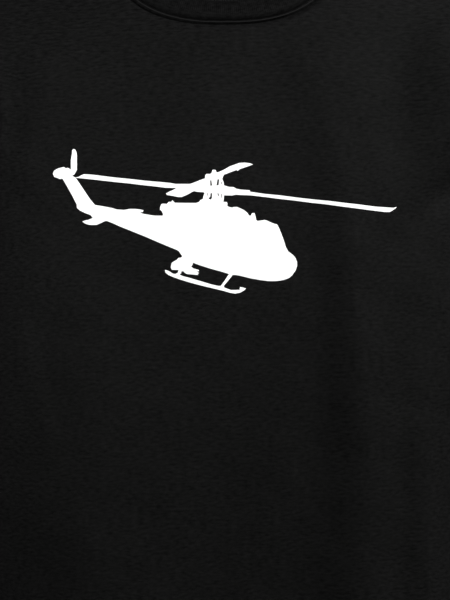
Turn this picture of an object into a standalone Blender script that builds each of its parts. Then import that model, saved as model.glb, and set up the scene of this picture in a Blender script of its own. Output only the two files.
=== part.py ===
"""A short-sleeved crew-neck T-shirt with a chest print, in the shape it takes on a wearer.

The front faces -Y, +Z is up, and the origin is the middle of the neck opening, level with the inner ends of
the shoulder seams. Every cloth piece is a thin closed solid, laid on one body surface or on a sleeve tube.
"""
import math

import bpy
import numpy as np
from mathutils import Vector, geometry

# Driving dimensions of the body, in metres
CHEST_HALF_WIDTH = 0.226
HEM_HALF_WIDTH = 0.230
SHOULDER_SECTION_HALF_WIDTH = 0.292
CHEST_DEPTH = {"front": 0.104, "back": 0.094}
HEM_DEPTH = {"front": 0.100, "back": 0.091}
SECTION_POWER = 2.5
ROUNDING_HEIGHT = {"front": 0.235, "back": 0.150}

# Neck, shoulders, armholes and hem
NECK_HALF_WIDTH = 0.100
NECK_DROP = {"front": 0.085, "back": 0.018}
NECK_POWER = {"front": 2.5, "back": 1.8}
SHOULDER_POINT_X = 0.235
SHOULDER_DROP = 0.055
RIDGE_SOFTNESS = 0.30
UNDERARM_Z = -0.245
ARMHOLE_SPINE_X = (0.2350, 0.2155, 0.2025, 0.1980, 0.2025, 0.2125, 0.2260)
ARMHOLE_SPINE_Z = (-0.0550, -0.0950, -0.1350, -0.1750, -0.2100, -0.2350, -0.2450)
HEM_Z = -0.715

# Sleeves
SLEEVE_ANGLE = math.radians(38.0)
SLEEVE_MOUTH_CENTRE = Vector((0.307, 0.0, -0.277))
SLEEVE_MOUTH_HALF_HEIGHT = 0.060
SLEEVE_MOUTH_HALF_DEPTH = 0.056
SLEEVE_ROOT_REACH = 0.110
SLEEVE_MOUTH_REACH = 0.150
SLEEVE_TOP_WAY = Vector((0.93, 0.0, -0.37))
SLEEVE_UNDER_SHARE = 0.35

# Cloth, bands and seam allowances
CLOTH_THICKNESS = 0.0008
RIB_THICKNESS = 0.0018
ALLOWANCE_THICKNESS = 0.0012
TRIM_THICKNESS = 0.0005
PRINT_THICKNESS = 0.0002
NECKBAND_HEIGHT = 0.020
NECKBAND_LEAN = 0.88
NECKBAND_BULGE = 0.0012
ALLOWANCE_WIDTH = 0.008
TAPE_WIDTH = 0.010
LABEL_SIZE = (0.040, 0.024)
HEM_WIDTH = 0.022
LAYER_DEPTH = 0.0020
HEM_LAYER_DEPTH = 0.0014
PRINT_LIFT = 0.0003
SEAM_GAP = 0.0004
EDGE_CLEARANCE = 0.0007

# How finely the curved surfaces are cut into flat faces, with more of them across the folds than along them
PANEL_STEP = 0.026
PANEL_STRETCH = 2.0
PRINT_STEP = 0.013
SLEEVE_ROWS = 8
HALF_ARMHOLE_STEPS = 16
HALF_NECK_STEPS = 20
HEM_STEPS = 49
SHOULDER_BEND_ROWS = (0.004, 0.009, 0.015)
SIDE_BEND_ROWS = (0.0045, 0.0105, 0.0180)
TABLE_SIZE = 600
SMOOTH_LIMIT = math.radians(40.0)

# The main folds below the chest: side, x at the top and at the hem, the height where they are full, how far
# they stand out there, and their widths towards -X and towards +X
FOLD_TOP_Z = -0.250
MAIN_FOLDS = [
    ("front", 0.110, 0.124, -0.450, 0.0065, 0.016, 0.020),
    ("front", 0.112, 0.128, -0.520, 0.0078, 0.023, 0.056),
    ("front", 0.094, 0.056, -0.450, -0.0062, 0.019, 0.019),
    ("front", 0.000, -0.077, -0.600, 0.0062, 0.029, 0.016),
    ("front", 0.038, 0.009, -0.640, -0.0090, 0.028, 0.028),
    ("front", -0.094, -0.122, -0.640, 0.0084, 0.021, 0.036),
    ("front", -0.166, -0.187, -0.580, -0.0055, 0.017, 0.017),
    ("back", 0.000, 0.000, -0.640, -0.0046, 0.026, 0.026),
    ("back", -0.060, -0.047, -0.640, 0.0060, 0.020, 0.020),
    ("back", 0.053, 0.046, -0.640, 0.0062, 0.020, 0.020),
    ("back", -0.104, -0.098, -0.600, -0.0052, 0.018, 0.018),
    ("back", 0.101, 0.098, -0.600, -0.0054, 0.018, 0.018),
    ("back", -0.151, -0.146, -0.600, 0.0058, 0.018, 0.018),
    ("back", 0.149, 0.152, -0.600, 0.0056, 0.018, 0.018),
    ("back", -0.194, -0.196, -0.600, -0.0042, 0.017, 0.017),
    ("back", 0.195, 0.194, -0.600, -0.0044, 0.017, 0.017),
]

# The print's drawing grid: one unit is 0.85 mm, and its zero lies on the shirt's centre line
PRINT_UNIT = 0.00085
PRINT_ZERO_Z = -0.2585


def clear_scene():
    for item in list(bpy.data.objects):
        bpy.data.objects.remove(item, do_unlink=True)


def make_material(name, colour, roughness):
    material = bpy.data.materials.new(name)
    material.use_nodes = True
    shader = material.node_tree.nodes["Principled BSDF"]
    shader.inputs["Base Color"].default_value = (*colour, 1.0)
    shader.inputs["Roughness"].default_value = roughness
    shader.inputs["Metallic"].default_value = 0.0
    material.diffuse_color = (*colour, 1.0)
    return material


def smooth_step(value):
    value = min(max(value, 0.0), 1.0)
    return value * value * (3.0 - 2.0 * value)


def arc_length(first, second):
    """Lengths along the curve through the points (first, second), starting at nought."""
    steps = np.hypot(np.diff(first), np.diff(second))
    return np.concatenate(([0.0], np.cumsum(steps)))


# A quarter of the body's level section, as a table of the length round from the centre line
QUARTER_TURN = np.linspace(0.0, math.pi / 2, TABLE_SIZE)
ACROSS = np.sin(QUARTER_TURN) ** (2.0 / SECTION_POWER)
OUTWARD = np.cos(QUARTER_TURN) ** (2.0 / SECTION_POWER)
ROUND_LENGTH = arc_length(CHEST_HALF_WIDTH * ACROSS, CHEST_DEPTH["front"] * OUTWARD)
HALF_PANEL = float(ROUND_LENGTH[-1])

# The upright profile from the shoulder ridge forwards or backwards, and down: drop in metres, out as a share
PROFILE_DROP = 0.8 * np.linspace(0.0, 1.0, 4 * TABLE_SIZE) ** 2
PROFILE_OUT = {}
PROFILE_LENGTH = {}
for face in ("front", "back"):
    PROFILE_OUT[face] = np.sqrt(np.tanh(PROFILE_DROP / ROUNDING_HEIGHT[face]))
    PROFILE_LENGTH[face] = arc_length(CHEST_DEPTH[face] * PROFILE_OUT[face], PROFILE_DROP)


def section_half_width(z):
    """Half the width of the level section: wide at the shoulders, straight from the underarm down."""
    chest_share = smooth_step((-SHOULDER_DROP - z) / (-SHOULDER_DROP - UNDERARM_Z))
    hem_share = smooth_step((UNDERARM_Z - z) / (UNDERARM_Z - HEM_Z))
    upper = SHOULDER_SECTION_HALF_WIDTH + (CHEST_HALF_WIDTH - SHOULDER_SECTION_HALF_WIDTH) * chest_share
    return upper + (HEM_HALF_WIDTH - CHEST_HALF_WIDTH) * hem_share


def section_depth(side, z):
    hem_share = smooth_step((UNDERARM_Z - z) / (UNDERARM_Z - HEM_Z))
    return CHEST_DEPTH[side] + (HEM_DEPTH[side] - CHEST_DEPTH[side]) * hem_share


NECK_ACROSS = NECK_HALF_WIDTH / SHOULDER_SECTION_HALF_WIDTH
SHOULDER_ACROSS = SHOULDER_POINT_X / SHOULDER_SECTION_HALF_WIDTH
RIDGE_LENGTH = math.hypot(RIDGE_SOFTNESS, SHOULDER_ACROSS) - math.hypot(RIDGE_SOFTNESS, NECK_ACROSS)
RIDGE_FALL = SHOULDER_DROP / RIDGE_LENGTH


def ridge_height(across):
    """Height of the shoulder ridge, where across is 0 at the centre line and 1 at the side."""
    return RIDGE_FALL * (math.hypot(RIDGE_SOFTNESS, NECK_ACROSS) - math.hypot(RIDGE_SOFTNESS, across))


def smooth_point(side, u, s):
    """The body without folds: u is the length round from the centre line, s the length down from the top."""
    across = float(np.interp(abs(u), ROUND_LENGTH, ACROSS))
    outward = float(np.interp(abs(u), ROUND_LENGTH, OUTWARD))
    drop = float(np.interp(s, PROFILE_LENGTH[side], PROFILE_DROP))
    out = float(np.interp(s, PROFILE_LENGTH[side], PROFILE_OUT[side]))
    z = ridge_height(across) - drop
    x = math.copysign(section_half_width(z) * across, u)
    y = section_depth(side, z) * outward * out
    return Vector((x, -y if side == "front" else y, z))


def body_place(side, x, z):
    """The (u, s) place on the body surface that lies at a given x and z."""
    across = min(abs(x) / section_half_width(z), 1.0)
    u = math.copysign(float(np.interp(across, ACROSS, ROUND_LENGTH)), x)
    s = float(np.interp(ridge_height(across) - z, PROFILE_DROP, PROFILE_LENGTH[side]))
    return u, s


def normal_of(point_at, side, u, s):
    """The outward direction, square to a surface that is given by a function of the place."""
    step = 0.002
    u_low, u_high = max(u - step, -HALF_PANEL), min(u + step, HALF_PANEL)
    s_low, s_high = max(s - step, 0.0), s + step
    along_u = point_at(side, u_high, s) - point_at(side, u_low, s)
    along_s = point_at(side, u, s_high) - point_at(side, u, s_low)
    normal = along_s.cross(along_u) if side == "front" else along_u.cross(along_s)
    return normal.normalized()


def around_place(side, u):
    """The length round the whole body, from the middle of the front over the +X side."""
    return u if side == "front" else 2.0 * HALF_PANEL - u


def fold_line(side, top_x, hem_x):
    """Where a fold lies round the body at its top and at the hem."""
    return (around_place(side, body_place(side, top_x, FOLD_TOP_Z)[0]),
            around_place(side, body_place(side, hem_x, HEM_Z)[0]))


FOLD_LINES = [fold_line(*fold[:3]) for fold in MAIN_FOLDS]


def fold_height(side, u, z):
    """How far the folds push the cloth out at a place."""
    total = 0.0
    way_down = min(max((FOLD_TOP_Z - z) / (FOLD_TOP_Z - HEM_Z), 0.0), 1.0)
    for (top, hem), fold in zip(FOLD_LINES, MAIN_FOLDS):
        full_z, height, left, right = fold[3:]
        offset = around_place(side, u) - top - (hem - top) * way_down
        offset = (offset + 2.0 * HALF_PANEL) % (4.0 * HALF_PANEL) - 2.0 * HALF_PANEL
        width = right if offset > 0.0 else left
        grown = smooth_step((FOLD_TOP_Z - z) / (FOLD_TOP_Z - full_z))
        total += height * grown * math.exp(-0.5 * (offset / width) ** 2)
    return total


def body_point(side, u, s):
    """The body surface with its folds."""
    point = smooth_point(side, u, s)
    return point + normal_of(smooth_point, side, u, s) * fold_height(side, u, point.z)


def body_layer(side, u, s, depth):
    """A point at a depth under the body surface; a negative depth lies proud of it."""
    return body_point(side, u, s) - normal_of(body_point, side, u, s) * depth


def closed_sheet(name, outer, inner, faces, material):
    """A closed solid between two layers of matching points; the faces belong to the outer layer."""
    count = len(outer)
    edges = {}
    for face in faces:
        for start, end in zip(face, face[1:] + face[:1]):
            edges[(start, end)] = edges.get((start, end), 0) + 1
    rim = [(end, start, start + count, end + count) for start, end in edges if (end, start) not in edges]
    under = [tuple(index + count for index in reversed(face)) for face in faces]
    mesh = bpy.data.meshes.new(name)
    mesh.from_pydata([tuple(point) for point in outer + inner], [], faces + under + rim)
    mesh.materials.append(material)
    mesh.shade_smooth()
    mesh.set_sharp_from_angle(angle=SMOOTH_LIMIT)
    item = bpy.data.objects.new(name, mesh)
    bpy.context.scene.collection.objects.link(item)
    return item


def body_sheet(name, side, places, faces, depth, thickness, material):
    """A sheet on the body surface, from (u, s) places whose faces turn left over the right-down plane."""
    outer = [body_layer(side, u, s, depth) for u, s in places]
    inner = [body_layer(side, u, s, depth + thickness) for u, s in places]
    return closed_sheet(name, outer, inner, turned_over(faces) if side == "front" else faces, material)


def grid_faces(rows, columns, closed):
    """Quads of a grid whose points are listed row by row; a closed grid wraps round in each row."""
    faces = []
    for row in range(rows - 1):
        for column in range(columns if closed else columns - 1):
            after = (column + 1) % columns
            faces.append((row * columns + column, row * columns + after,
                          (row + 1) * columns + after, (row + 1) * columns + column))
    return faces


def turned_over(faces):
    return [tuple(reversed(face)) for face in faces]


def inside_outline(outline, x, y):
    """Whether a point lies inside a closed outline, by counting the edges to its right."""
    inside = False
    for (x0, y0), (x1, y1) in zip(outline, outline[1:] + outline[:1]):
        if (y0 > y) != (y1 > y) and x < x0 + (y - y0) * (x1 - x0) / (y1 - y0):
            inside = not inside
    return inside


def edge_distance(outline, x, y):
    nearest = math.inf
    for (x0, y0), (x1, y1) in zip(outline, outline[1:] + outline[:1]):
        length = (x1 - x0) ** 2 + (y1 - y0) ** 2
        share = 0.0 if length == 0.0 else ((x - x0) * (x1 - x0) + (y - y0) * (y1 - y0)) / length
        share = min(max(share, 0.0), 1.0)
        nearest = min(nearest, math.hypot(x - x0 - share * (x1 - x0), y - y0 - share * (y1 - y0)))
    return nearest


def even_points(points, step):
    """The same open run of points, spaced evenly at about the step, ends kept."""
    first = np.array([point[0] for point in points])
    second = np.array([point[1] for point in points])
    length = arc_length(first, second)
    count = max(int(round(length[-1] / step)), 1)
    places = np.linspace(0.0, length[-1], count + 1)
    return list(zip(np.interp(places, length, first).tolist(), np.interp(places, length, second).tolist()))


def grid_points_inside(outlines, step):
    """Points of a square grid that lie inside any of the outlines and clear of every edge."""
    xs = [point[0] for outline in outlines for point in outline]
    ys = [point[1] for outline in outlines for point in outline]
    points = []
    for row in range(math.ceil(min(ys) / step), math.floor(max(ys) / step) + 1):
        shift = 0.5 * step * (row % 2)
        for column in range(math.ceil(min(xs) / step), math.floor(max(xs) / step) + 1):
            x, y = column * step + shift, row * step
            clear = all(edge_distance(outline, x, y) > 0.55 * step for outline in outlines)
            if clear and any(inside_outline(outline, x, y) for outline in outlines):
                points.append((x, y))
    return points


def triangulate(outlines, holes, step, extra=()):
    """Triangles that fill the outlines, less the holes, with a grid of points and any extra ones inside."""
    places = []
    loops = []
    for outline in outlines + holes:
        loops.append(list(range(len(places), len(places) + len(outline))))
        places += outline
    places += grid_points_inside(outlines + holes, step)
    places += extra
    vectors = [Vector(place) for place in places]
    result = geometry.delaunay_2d_cdt(vectors, [], loops, 1, 1e-6)
    kept = []
    for face in result[2]:
        x = sum(result[0][index].x for index in face) / 3.0
        y = sum(result[0][index].y for index in face) / 3.0
        if any(inside_outline(outline, x, y) for outline in outlines):
            if not any(inside_outline(hole, x, y) for hole in holes):
                kept.append(tuple(face))
    used = sorted({index for face in kept for index in face})
    renumber = {old: new for new, old in enumerate(used)}
    corners = [(result[0][index].x, result[0][index].y) for index in used]
    return corners, [tuple(renumber[index] for index in face) for face in kept]


def neckline(side, count):
    """The neck seam as (x, z) points, from the inner end of the left shoulder seam over to the right one."""
    points = []
    for step in range(count + 1):
        turn = math.pi * step / count
        power = 2.0 / NECK_POWER[side]
        x = -math.copysign(abs(math.cos(turn)) ** power, math.cos(turn)) * NECK_HALF_WIDTH
        points.append((x, -NECK_DROP[side] * abs(math.sin(turn)) ** power))
    return points


def armhole_curve(count):
    """The armhole seam as (x, z) points on the +X side, from the shoulder point down to the underarm."""
    knots = np.linspace(0.0, 1.0, len(ARMHOLE_SPINE_X))
    fine = np.linspace(0.0, 1.0, TABLE_SIZE)
    power = len(ARMHOLE_SPINE_X) - 1
    x = np.polyval(np.polyfit(knots, ARMHOLE_SPINE_X, power), fine)
    z = np.polyval(np.polyfit(knots, ARMHOLE_SPINE_Z, power), fine)
    length = arc_length(x, z)
    places = np.linspace(0.0, length[-1], count + 1)
    return list(zip(np.interp(places, length, x).tolist(), np.interp(places, length, z).tolist()))


def hem_place(side, u, z):
    """The length down from the ridge at which the surface is at height z."""
    across = float(np.interp(abs(u), ROUND_LENGTH, ACROSS))
    return float(np.interp(ridge_height(across) - z, PROFILE_DROP, PROFILE_LENGTH[side]))


HEM_COLUMNS = np.linspace(-HALF_PANEL, HALF_PANEL, HEM_STEPS).tolist()


def panel_outline(side):
    """The cut edge of a body panel in (u, s): neck, shoulder, armhole, side, hem, and up the other side."""
    half_gap = 0.5 * SEAM_GAP
    neck = [body_place(side, x, z) for x, z in neckline(side, 2 * HALF_NECK_STEPS)]
    neck = [(u, max(s, half_gap)) for u, s in neck]
    armhole = [body_place(side, x, z) for x, z in armhole_curve(HALF_ARMHOLE_STEPS)]
    armhole = [(min(u, HALF_PANEL - half_gap), max(s, half_gap)) for u, s in armhole]
    shoulder = even_points([neck[-1], armhole[0]], 0.5 * PANEL_STEP)
    side_u = HALF_PANEL - half_gap
    seam = even_points([(side_u, armhole[-1][1]), (side_u, hem_place(side, side_u, HEM_Z))], PANEL_STEP)
    hem_us = [min(max(u, -side_u), side_u) for u in reversed(HEM_COLUMNS)]
    hem = [(u, hem_place(side, u, HEM_Z)) for u in hem_us]
    right = shoulder[1:-1] + armhole[:-1] + seam[:-1]
    left = [(-u, s) for u, s in reversed(right)]
    return neck + right + hem + left


def shoulder_points():
    """Extra (u, s) places beside the shoulder seams, where the cloth bends most."""
    start = body_place("front", NECK_HALF_WIDTH, 0.0)[0]
    end = body_place("front", SHOULDER_POINT_X, -SHOULDER_DROP)[0]
    us = np.linspace(start, end, 12)[1:-1]
    return [(sign * float(u), s) for s in SHOULDER_BEND_ROWS for u in us for sign in (-1.0, 1.0)]


def side_points(side):
    """Extra (u, s) places beside the side seams, where the cloth turns from the front to the back."""
    top = body_place(side, CHEST_HALF_WIDTH, UNDERARM_Z)[1]
    downs = [s for u, s in even_points([(0.0, top), (0.0, hem_place(side, HALF_PANEL, HEM_Z))], PANEL_STEP)]
    us = [sign * (HALF_PANEL - row) for row in SIDE_BEND_ROWS for sign in (-1.0, 1.0)]
    return [(u, s) for u in us for s in downs[1:-1]]


def hem_points(side):
    """Extra (u, s) places at the top of the hem and half way down it, in its turned-up layer's columns."""
    heights = (HEM_Z + HEM_WIDTH, HEM_Z + 0.5 * HEM_WIDTH)
    return [(u, hem_place(side, u, z)) for z in heights for u in HEM_COLUMNS[2:-2]]


def make_body_panel(name, side, material):
    def stretched(places):
        return [(u * PANEL_STRETCH, s) for u, s in places]

    extra = shoulder_points() + side_points(side) + hem_points(side)
    places, faces = triangulate([stretched(panel_outline(side))], [], PANEL_STEP, stretched(extra))
    places = [(u / PANEL_STRETCH, s) for u, s in places]
    return body_sheet(name, side, places, faces, 0.0, CLOTH_THICKNESS, material)


def armhole_loop():
    """The armhole seam in space on the +X side, from the shoulder point down the front and up the back."""
    curve = armhole_curve(HALF_ARMHOLE_STEPS)
    front = [body_point("front", *body_place("front", x, z)) for x, z in curve]
    back = [body_point("back", *body_place("back", x, z)) for x, z in curve]
    front[0].y = back[0].y = 0.0
    return front + list(reversed(back[1:-1]))


def sleeve_point(root, turn, share):
    """The sleeve tube: turn goes round from the top by the front, share from the armhole to the mouth."""
    axis = Vector((math.sin(SLEEVE_ANGLE), 0.0, -math.cos(SLEEVE_ANGLE)))
    up = Vector((math.cos(SLEEVE_ANGLE), 0.0, math.sin(SLEEVE_ANGLE)))
    mouth = SLEEVE_MOUTH_CENTRE + up * (SLEEVE_MOUTH_HALF_HEIGHT * math.cos(turn))
    mouth = mouth - Vector((0.0, SLEEVE_MOUTH_HALF_DEPTH * math.sin(turn), 0.0))
    upper = 0.5 + 0.5 * math.cos(turn)
    start = axis.lerp(SLEEVE_TOP_WAY, upper) * (SLEEVE_ROOT_REACH * (SLEEVE_UNDER_SHARE + upper))
    finish = axis * (SLEEVE_MOUTH_REACH * (0.5 + 0.5 * upper))
    a, b = share * share, share * share * share
    return (root * (2 * b - 3 * a + 1) + start * (b - 2 * a + share)
            + mouth * (3 * a - 2 * b) + finish * (b - a))


def tube_rings(point_at, loop, shares, depth):
    """Rings of points on a tube that starts at a loop, at a depth under its surface."""
    count = len(loop)
    turn_step = 2.0 * math.pi / count
    share_step = 0.01
    rings = []
    for share in shares:
        for index, root in enumerate(loop):
            turn = turn_step * index
            low, high = max(share - share_step, 0.0), min(share + share_step, 1.0)
            around = point_at(loop[(index + 1) % count], turn + turn_step, share)
            around = around - point_at(loop[index - 1], turn - turn_step, share)
            along = point_at(root, turn, high) - point_at(root, turn, low)
            rings.append(point_at(root, turn, share) - around.cross(along).normalized() * depth)
    return rings


def tube_sheet(name, point_at, loop, shares, depth, thickness, material, sign=1.0):
    """A closed band of cloth round a tube; a negative sign makes its mirror image."""
    outer = [Vector((sign * p.x, p.y, p.z)) for p in tube_rings(point_at, loop, shares, depth)]
    inner = [Vector((sign * p.x, p.y, p.z)) for p in tube_rings(point_at, loop, shares, depth + thickness)]
    faces = grid_faces(len(shares), len(loop), True)
    return closed_sheet(name, outer, inner, turned_over(faces) if sign < 0 else faces, material)


def sleeve_share(length):
    """The share of the sleeve that a length along its underarm makes."""
    root = armhole_loop()[HALF_ARMHOLE_STEPS]
    return length / (sleeve_point(root, math.pi, 1.0) - root).length


def neck_loop():
    """The neck seam in space, from the left shoulder seam round by the front."""
    front = neckline("front", 2 * HALF_NECK_STEPS)
    back = neckline("back", 2 * HALF_NECK_STEPS)
    loop = [body_point("front", *body_place("front", x, z)) for x, z in front]
    return loop + [body_point("back", *body_place("back", x, z)) for x, z in reversed(back[1:-1])]


def neckband_point(root, turn, share):
    """The neckband's outer face, from its seam at share 0 up to its fold at share 1."""
    lean = 1.0 + (NECKBAND_LEAN - 1.0) * share
    swell = Vector((root.x, root.y, 0.0)).normalized() * (NECKBAND_BULGE * math.sin(math.pi * share))
    return Vector((root.x * lean, root.y * lean, root.z + NECKBAND_HEIGHT * share)) + swell


def make_neckband(material):
    shares = [EDGE_CLEARANCE / NECKBAND_HEIGHT, 0.3, 0.6, 0.85, 1.0]
    tube_sheet("neckband", neckband_point, neck_loop(), shares, 0.0, RIB_THICKNESS, material)


def make_layer_strip(name, side, places, rows, thickness, material):
    """A strip under a body panel from a grid of (u, s) places that run left to right, rows going down."""
    faces = grid_faces(rows, len(places) // rows, False)
    return body_sheet(name, side, places, faces, LAYER_DEPTH, thickness, material)


def make_shoulder_seam(name, sign, material):
    """The allowance of a shoulder seam, pressed to the back."""
    margin = 0.006
    ends = sorted((sign * (NECK_HALF_WIDTH + margin), sign * (SHOULDER_POINT_X - margin)))
    places = []
    for down in (0.0010, 0.0010 + ALLOWANCE_WIDTH):
        for x in np.linspace(ends[0], ends[1], 8):
            across = abs(x) / SHOULDER_SECTION_HALF_WIDTH
            u = math.copysign(float(np.interp(across, ACROSS, ROUND_LENGTH)), x)
            places.append((u, down))
    return make_layer_strip(name, "back", places, 2, ALLOWANCE_THICKNESS, material)


def make_side_seam(name, sign, material):
    """The allowance of a side seam, pressed to the back, from under the arm down to the hem."""
    top = body_place("back", CHEST_HALF_WIDTH, UNDERARM_Z)[1] + 0.004
    bottom = hem_place("back", HALF_PANEL, HEM_Z + HEM_WIDTH + 0.002)
    us = sorted((sign * (HALF_PANEL - 0.0010), sign * (HALF_PANEL - 0.0010 - ALLOWANCE_WIDTH)))
    rows = 22
    places = [(u, float(s)) for s in np.linspace(top, bottom, rows) for u in us]
    return make_layer_strip(name, "back", places, rows, ALLOWANCE_THICKNESS, material)


def neck_seam_depth(u):
    """The length down from the ridge to the back neck seam."""
    across = float(np.interp(abs(u), ROUND_LENGTH, ACROSS))
    x = min(across * SHOULDER_SECTION_HALF_WIDTH / NECK_HALF_WIDTH, 1.0)
    z = -NECK_DROP["back"] * (1.0 - x ** NECK_POWER["back"]) ** (1.0 / NECK_POWER["back"])
    return body_place("back", across * SHOULDER_SECTION_HALF_WIDTH, z)[1]


def make_neck_tape(material):
    """The tape over the back neck seam, from one shoulder to the other, inside."""
    half = body_place("back", 0.9 * NECK_HALF_WIDTH, 0.0)[0]
    us = np.linspace(-half, half, 19)
    places = [(float(u), neck_seam_depth(u) + down) for down in (0.001, 0.001 + TAPE_WIDTH) for u in us]
    return make_layer_strip("neck_tape", "back", places, 2, TRIM_THICKNESS, material)


def make_neck_label(material):
    """The blank label that hangs below the tape at the middle of the back."""
    half = body_place("back", 0.5 * LABEL_SIZE[0], -NECK_DROP["back"])[0]
    us = np.linspace(-half, half, 5)
    top = neck_seam_depth(0.0) + 0.001 + TAPE_WIDTH + 0.0006
    places = [(float(u), top + float(down)) for down in np.linspace(0.0, LABEL_SIZE[1], 3) for u in us]
    return make_layer_strip("neck_label", "back", places, 3, TRIM_THICKNESS, material)


def make_body_hem(material):
    """The turned-up layer inside the hem, all the way round."""
    us = HEM_COLUMNS
    heights = (HEM_Z + HEM_WIDTH, HEM_Z + 0.5 * HEM_WIDTH, HEM_Z + SEAM_GAP)
    layers = []
    for depth in (HEM_LAYER_DEPTH, HEM_LAYER_DEPTH + CLOTH_THICKNESS):
        points = []
        for z in heights:
            points += [body_layer("front", u, hem_place("front", u, z), depth) for u in us]
            points += [body_layer("back", u, hem_place("back", u, z), depth) for u in reversed(us[1:-1])]
        layers.append(points)
    faces = turned_over(grid_faces(len(heights), len(layers[0]) // len(heights), True))
    return closed_sheet("body_hem", layers[0], layers[1], faces, material)


# The printed figure, an aircraft in side view seen nose down. Each outline is a list of (right, up) places.
TAIL_BLADE = [(-154, 50), (-154, 60), (-153, 66), (-151.5, 71), (-149.8, 70.5), (-148, 65), (-148, 50),
              (-150.5, 45.5), (-157, 42)]
TAIL_HUB = [(-172, 46), (-171, 49), (-168, 51), (-161, 53), (-157, 52), (-152, 49), (-153, 44.5), (-157, 40),
            (-165, 40.8), (-170.5, 43)]
TAIL_FIN = [(-163, 42), (-158, 47), (-149.3, 42.2), (-145, 36), (-135, 21), (-130, 15), (-122, 6),
            (-134.5, 5), (-145, 9.5), (-148, 12), (-148.2, 15.5), (-157.5, 33), (-161, 39)]
STABILIZER = [(-142.5, -1.5), (-137, 0), (-132, 2), (-134.5, 5), (-115, 5), (-117, -1), (-119.5, -1),
              (-124, -3), (-132, -5), (-137, -4.5)]
BODY = [(-134.5, 5), (-130, 15), (-120, 13.3), (-108, 10.5), (-101, 10), (-95, 11), (-89, 11),
        (-81.5, 9.8), (-82, 8), (-85, 7.5), (-75, 5), (-62.5, 4.2), (-62, 6), (-65, 10.5), (-64, 15.5),
        (-62, 16.3), (-58, 16),
        (-56.5, 18), (-53.5, 18.2), (-50, 17.2), (-29, 17), (-26, 18), (-24.5, 20), (-20, 22), (-2, 20),
        (-1.5, 18), (1.5, 18), (2.2, 14), (7, 12.4), (12, 13), (19.5, 9.5), (24, 4.5), (26, 4.5), (27, 6.9),
        (29.6, 6.9), (31.4, -0.4), (39.5, 0), (45, -2), (52, -4.3), (56.5, -14), (61, -27.5), (63.3, -31.5),
        (68, -35), (71, -39.5), (72.2, -44), (70.5, -50.5), (64, -58), (55, -60.8), (43, -61), (35, -60),
        (15, -55.7), (6, -54.8), (1, -53), (-5, -51.2), (-32, -42.7), (-33.8, -46.3), (-26, -50), (-27, -55),
        (-38, -54), (-41.5, -51.3), (-44, -54), (-46.5, -50), (-53, -49.8), (-54, -47), (-53, -43),
        (-49, -40.5), (-46.5, -38), (-43, -36.5), (-47, -30.5), (-80, -16), (-95, -9.5), (-118, -1)]
LONG_BLADE = [(-150, 42.2), (-144, 44.5), (-141, 45.7), (-137, 45.6), (-110, 42.5), (-55, 37), (-35, 36),
              (-28, 38.5), (-20, 41.5), (0, 34.2), (8.5, 33), (11, 31.3), (25, 29.4), (25.3, 28.2), (40, 26),
              (105, 19), (150, 13.3), (168, 12.2), (171.5, 13), (170, 11.5), (164.5, 8), (159.5, 8),
              (100, 15.8), (40, 23), (25, 24.7), (11, 25.4), (-1, 24.7), (-19, 27), (-31, 28.8),
              (-36, 26.2), (-43.5, 23),
              (-50, 23.2), (-59, 26.5), (-56, 28.2), (-49, 31.5), (-70, 33), (-110, 38), (-145, 41.8)]
MAST = [(-25, 17), (-22, 22), (-20.5, 28), (-20, 42), (-19.5, 45.5), (-15, 46), (-13, 49.8), (-9.5, 50),
        (-8, 47.5), (-1, 50.3), (5, 53.7), (14, 57), (20, 57.3), (27.7, 55.5), (21, 53), (13, 50), (6, 48),
        (-1, 45.4), (-2.6, 41), (-1.3, 35), (-1, 24.8), (-1.8, 17)]
SKID = [(-60, -50), (-57, -50.5), (-50, -54), (-46.5, -52.5), (-45, -48), (-42, -48), (-45, -55), (-35, -58),
        (-7, -66), (-4.2, -65.8), (4, -54), (8, -54.5), (-1, -65.5), (-0.5, -68), (6, -70),
        (14.5, -69.8), (15, -67), (21, -68.5), (19, -70.5), (13, -73.3), (8, -73.4), (-1, -71),
        (-35, -62.5), (-52, -57), (-59.5, -52.5)]
MAST_GAPS = [
    [(-15, 39.5), (-13.5, 39.7), (-13, 34.5), (-14.8, 34.2)],
    [(-7.5, 40.5), (-6, 40.7), (-6.4, 35), (-8.5, 34.3)],
    [(-14.5, 26.5), (-13, 26.8), (-13, 22), (-14, 20.3), (-16.5, 21.2)],
    [(-7.7, 26.7), (-6.5, 26.6), (-6, 23.8), (-7, 24)],
]


def make_chest_print(material):
    """The printed figure: a thin skin that follows the front panel."""
    def outline_places(outline):
        scaled = [(x * PRINT_UNIT, z * PRINT_UNIT) for x, z in outline]
        places = []
        for start, end in zip(scaled, scaled[1:] + scaled[:1]):
            places += even_points([start, end], PRINT_STEP)[:-1]
        return places

    shapes = [TAIL_BLADE, TAIL_HUB, TAIL_FIN, STABILIZER, BODY, LONG_BLADE, MAST, SKID]
    outlines = [outline_places(shape) for shape in shapes]
    gaps = [outline_places(shape) for shape in MAST_GAPS]
    corners, faces = triangulate(outlines, gaps, PRINT_STEP)
    places = [body_place("front", x, z + PRINT_ZERO_Z) for x, z in corners]
    depth = -PRINT_LIFT - PRINT_THICKNESS
    return body_sheet("chest_print", "front", places, turned_over(faces), depth, PRINT_THICKNESS, material)


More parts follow.
